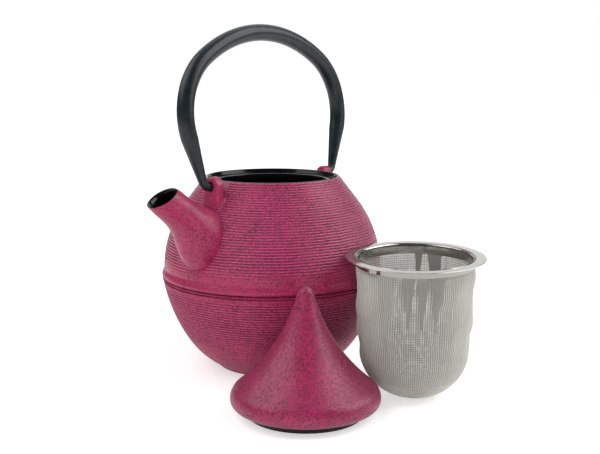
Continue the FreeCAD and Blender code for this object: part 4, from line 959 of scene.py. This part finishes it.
# %% [markdown]
# ## Pleats
# Flat weave can't follow the ring, so the wall is taken in with folds that hang from the collar and
# run out in a point. A fold is the same weave laid double, so the same tree makes it: a short span
# of wires, trimmed to a wedge. Three folds lie just outside the wall, and the others just inside it.

# %% Lay the pleats
# A fold has its bearing in degrees, its width and length, and how far it lies inside the wall.
PLEATS = ((4.0, 13.0, 62.0, 0.1), (27.3, 9.4, 40.0, -0.45), (40.6, 9.4, 41.0, -0.45),
          (54.6, 10.4, 43.0, -0.45), (192.6, 12.0, 50.0, 0.35), (210.0, 6.5, 34.0, 0.35))
CUP_R, FOLD_WIRES, FOLD_ROWS = 38.0, 0.45, 0.5  # the wall's radius, and a fold's two pitches
folds = bmesh.new()
for bearing, wide, long, inset in PLEATS:
    span = wide / CUP_R
    for across in (False, True):
        fold = woven("fold", across, pleat=True, wires=round(wide / FOLD_WIRES), rows=round(long / FOLD_ROWS),
                     start=(CUP_RUN - long) * MM, span=span, turn=math.radians(bearing) - span / 2,
                     inset=inset * MM)
        folds.from_mesh(fold.data)
        bpy.data.objects.remove(fold)
mesh = bpy.data.meshes.new("cup_pleats")
folds.to_mesh(mesh)
folds.free()
pleats = place_object("cup_pleats", mesh)
# The folds take the greyer finish: painted shade for the doubled layers.
hand_over(pleats, "infuser", "infuser_mesh_cup", shaded_double_wire, crease=180)

# %% [markdown]
# ## Floor, light and camera
# The photo is a plain studio picture on white: a wide soft box stands high on each side, and a dim
# room behind the camera leaves a dark band down the middle of every shiny form. A low fill from the
# front lights the matt paint, and shiny forms don't mirror it. The floor is white for the camera
# but keeps the soft shadows where the pieces stand.

# %% Floor
def seen_share(tree):
    """One for rays that the camera sees directly, mirrored or through glass, and zero for the others."""
    path = add(tree, "ShaderNodeLightPath").outputs
    seen = add(tree, "ShaderNodeMath", {0: path["Is Camera Ray"], 1: path["Is Glossy Ray"]}).outputs[0]
    return add(tree, "ShaderNodeMath", {0: seen, 1: path["Is Transmission Ray"]}, use_clamp=True).outputs[0]


EDGE = 6  # metres from the middle to the floor's edge
floor_mesh = bpy.data.meshes.new("floor")
floor_mesh.from_pydata([(-EDGE, -EDGE, 0), (EDGE, -EDGE, 0), (EDGE, EDGE, 0), (-EDGE, EDGE, 0)],
                       [], [(0, 1, 2, 3)])
floor = place_object("floor", floor_mesh)
white_floor = bpy.data.materials.new("white_studio_floor")
white_floor.use_nodes = True
tree = white_floor.node_tree
shader = tree.nodes["Principled BSDF"]
shader.inputs["Base Color"].default_value = linear("#E6E6E6")
shader.inputs["Roughness"].default_value = 0.8
spot = add(tree, "ShaderNodeNewGeometry").outputs["Position"]
away = add(tree, "ShaderNodeVectorMath", {0: spot}, operation="LENGTH").outputs["Value"]
level = add(tree, "ShaderNodeMapRange", {0: away, 1: 0.3, 2: 1.6, 3: 0.48, 4: 1.0}).outputs[0]
glow = add(tree, "ShaderNodeMath", {0: seen_share(tree), 1: level}, operation="MULTIPLY").outputs[0]
shader.inputs["Emission Color"].default_value = linear("#FFFFFF")
tree.links.new(glow, shader.inputs["Emission Strength"])
floor_mesh.materials.append(white_floor)
print("floor:", 2 * EDGE, "m wide")

# %% World
world = bpy.data.worlds.new("studio")
bpy.context.scene.world = world
world.use_nodes = True
tree = world.node_tree
level = add(tree, "ShaderNodeMapRange", {0: seen_share(tree), 1: 0.0, 2: 1.0, 3: 0.2, 4: 1.0}).outputs[0]
sky = tree.nodes["Background"]
sky.inputs["Color"].default_value = linear("#FFFFFF")
tree.links.new(level, sky.inputs["Strength"])
print("world:", world.name)

# %% Lights and the dim side of the room
# The middle of the pieces, and the camera's level directions.
MIDDLE = Vector((0.02, 0.05, 0.09))
AHEAD = Vector((-0.7692, -0.6390, 0.0)).normalized()
RIGHT = Vector((-0.6390, 0.7692, 0.0)).normalized()


def soft_light(name, right, back, up, width, tall, power, mirrored=True):
    """A large soft lamp, placed as seen from the camera and aimed at the pieces."""
    lamp = bpy.data.lights.new(name, "AREA")
    lamp.shape = "RECTANGLE"
    lamp.size, lamp.size_y, lamp.energy = width, tall, power
    holder = place_object(name, lamp)
    holder.visible_camera = False
    holder.visible_glossy = mirrored
    holder.location = MIDDLE + RIGHT * right - AHEAD * back + Vector((0, 0, up))
    holder.rotation_euler = (MIDDLE - holder.location).to_track_quat("-Z", "Y").to_euler()
    print(name, "at", [round(c, 2) for c in holder.location])


soft_light("left_softbox", right=-0.74, back=0.05, up=0.82, width=1.2, tall=0.95, power=8.0)
soft_light("right_softbox", right=0.84, back=-0.04, up=0.70, width=1.0, tall=1.1, power=12.5)
soft_light("front_fill", right=-0.4, back=1.1, up=0.05, width=1.6, tall=0.9, power=14.5, mirrored=False)
ROOM = 1.9  # radius and height of the dim room, in metres
card_mesh = bpy.data.meshes.new("dim_room")
sweep = [math.radians(a) for a in range(-150, 151, 10)]
around = [MIDDLE + (RIGHT * math.sin(a) - AHEAD * math.cos(a)) * ROOM for a in sweep]
corners = [(p.x, p.y, z) for z in (0.0, ROOM) for p in around] + [(MIDDLE.x, MIDDLE.y, ROOM)]
count = len(around)
sides = [(k, k + 1, k + 1 + count, k + count) for k in range(count - 1)]
roof = [(count + k, count + k + 1, 2 * count) for k in range(count - 1)]
card_mesh.from_pydata(corners, [], sides + roof)
card = place_object("dim_room", card_mesh)
dim = bpy.data.materials.new("dark_grey_cloth")
dim.use_nodes = True
shader = dim.node_tree.nodes["Principled BSDF"]
shader.inputs["Base Color"].default_value = linear("#5A5A5C")
shader.inputs["Roughness"].default_value = 0.9
card_mesh.materials.append(dim)
card.visible_camera = False
card.visible_diffuse = False
card.visible_shadow = False

# %% Camera
FOCAL_PIXELS, WIDTH_PIXELS, SENSOR = 1005.17, 600, 36.0  # of the camera that was fitted to the photo
camera_data = bpy.data.cameras.new("camera")
camera_data.sensor_width = SENSOR
camera_data.lens = SENSOR * FOCAL_PIXELS / WIDTH_PIXELS
camera = place_object("camera", camera_data)
pitch = math.radians(9.368)
camera.location = (0.54375, 0.47789, 0.2202)
look = AHEAD * math.cos(pitch) - Vector((0, 0, math.sin(pitch)))
camera.rotation_euler = look.to_track_quat("-Z", "Y").to_euler()
bpy.context.scene.camera = camera
bpy.context.scene.view_settings.view_transform = "Standard"
print("camera: lens %.1f mm" % camera_data.lens)
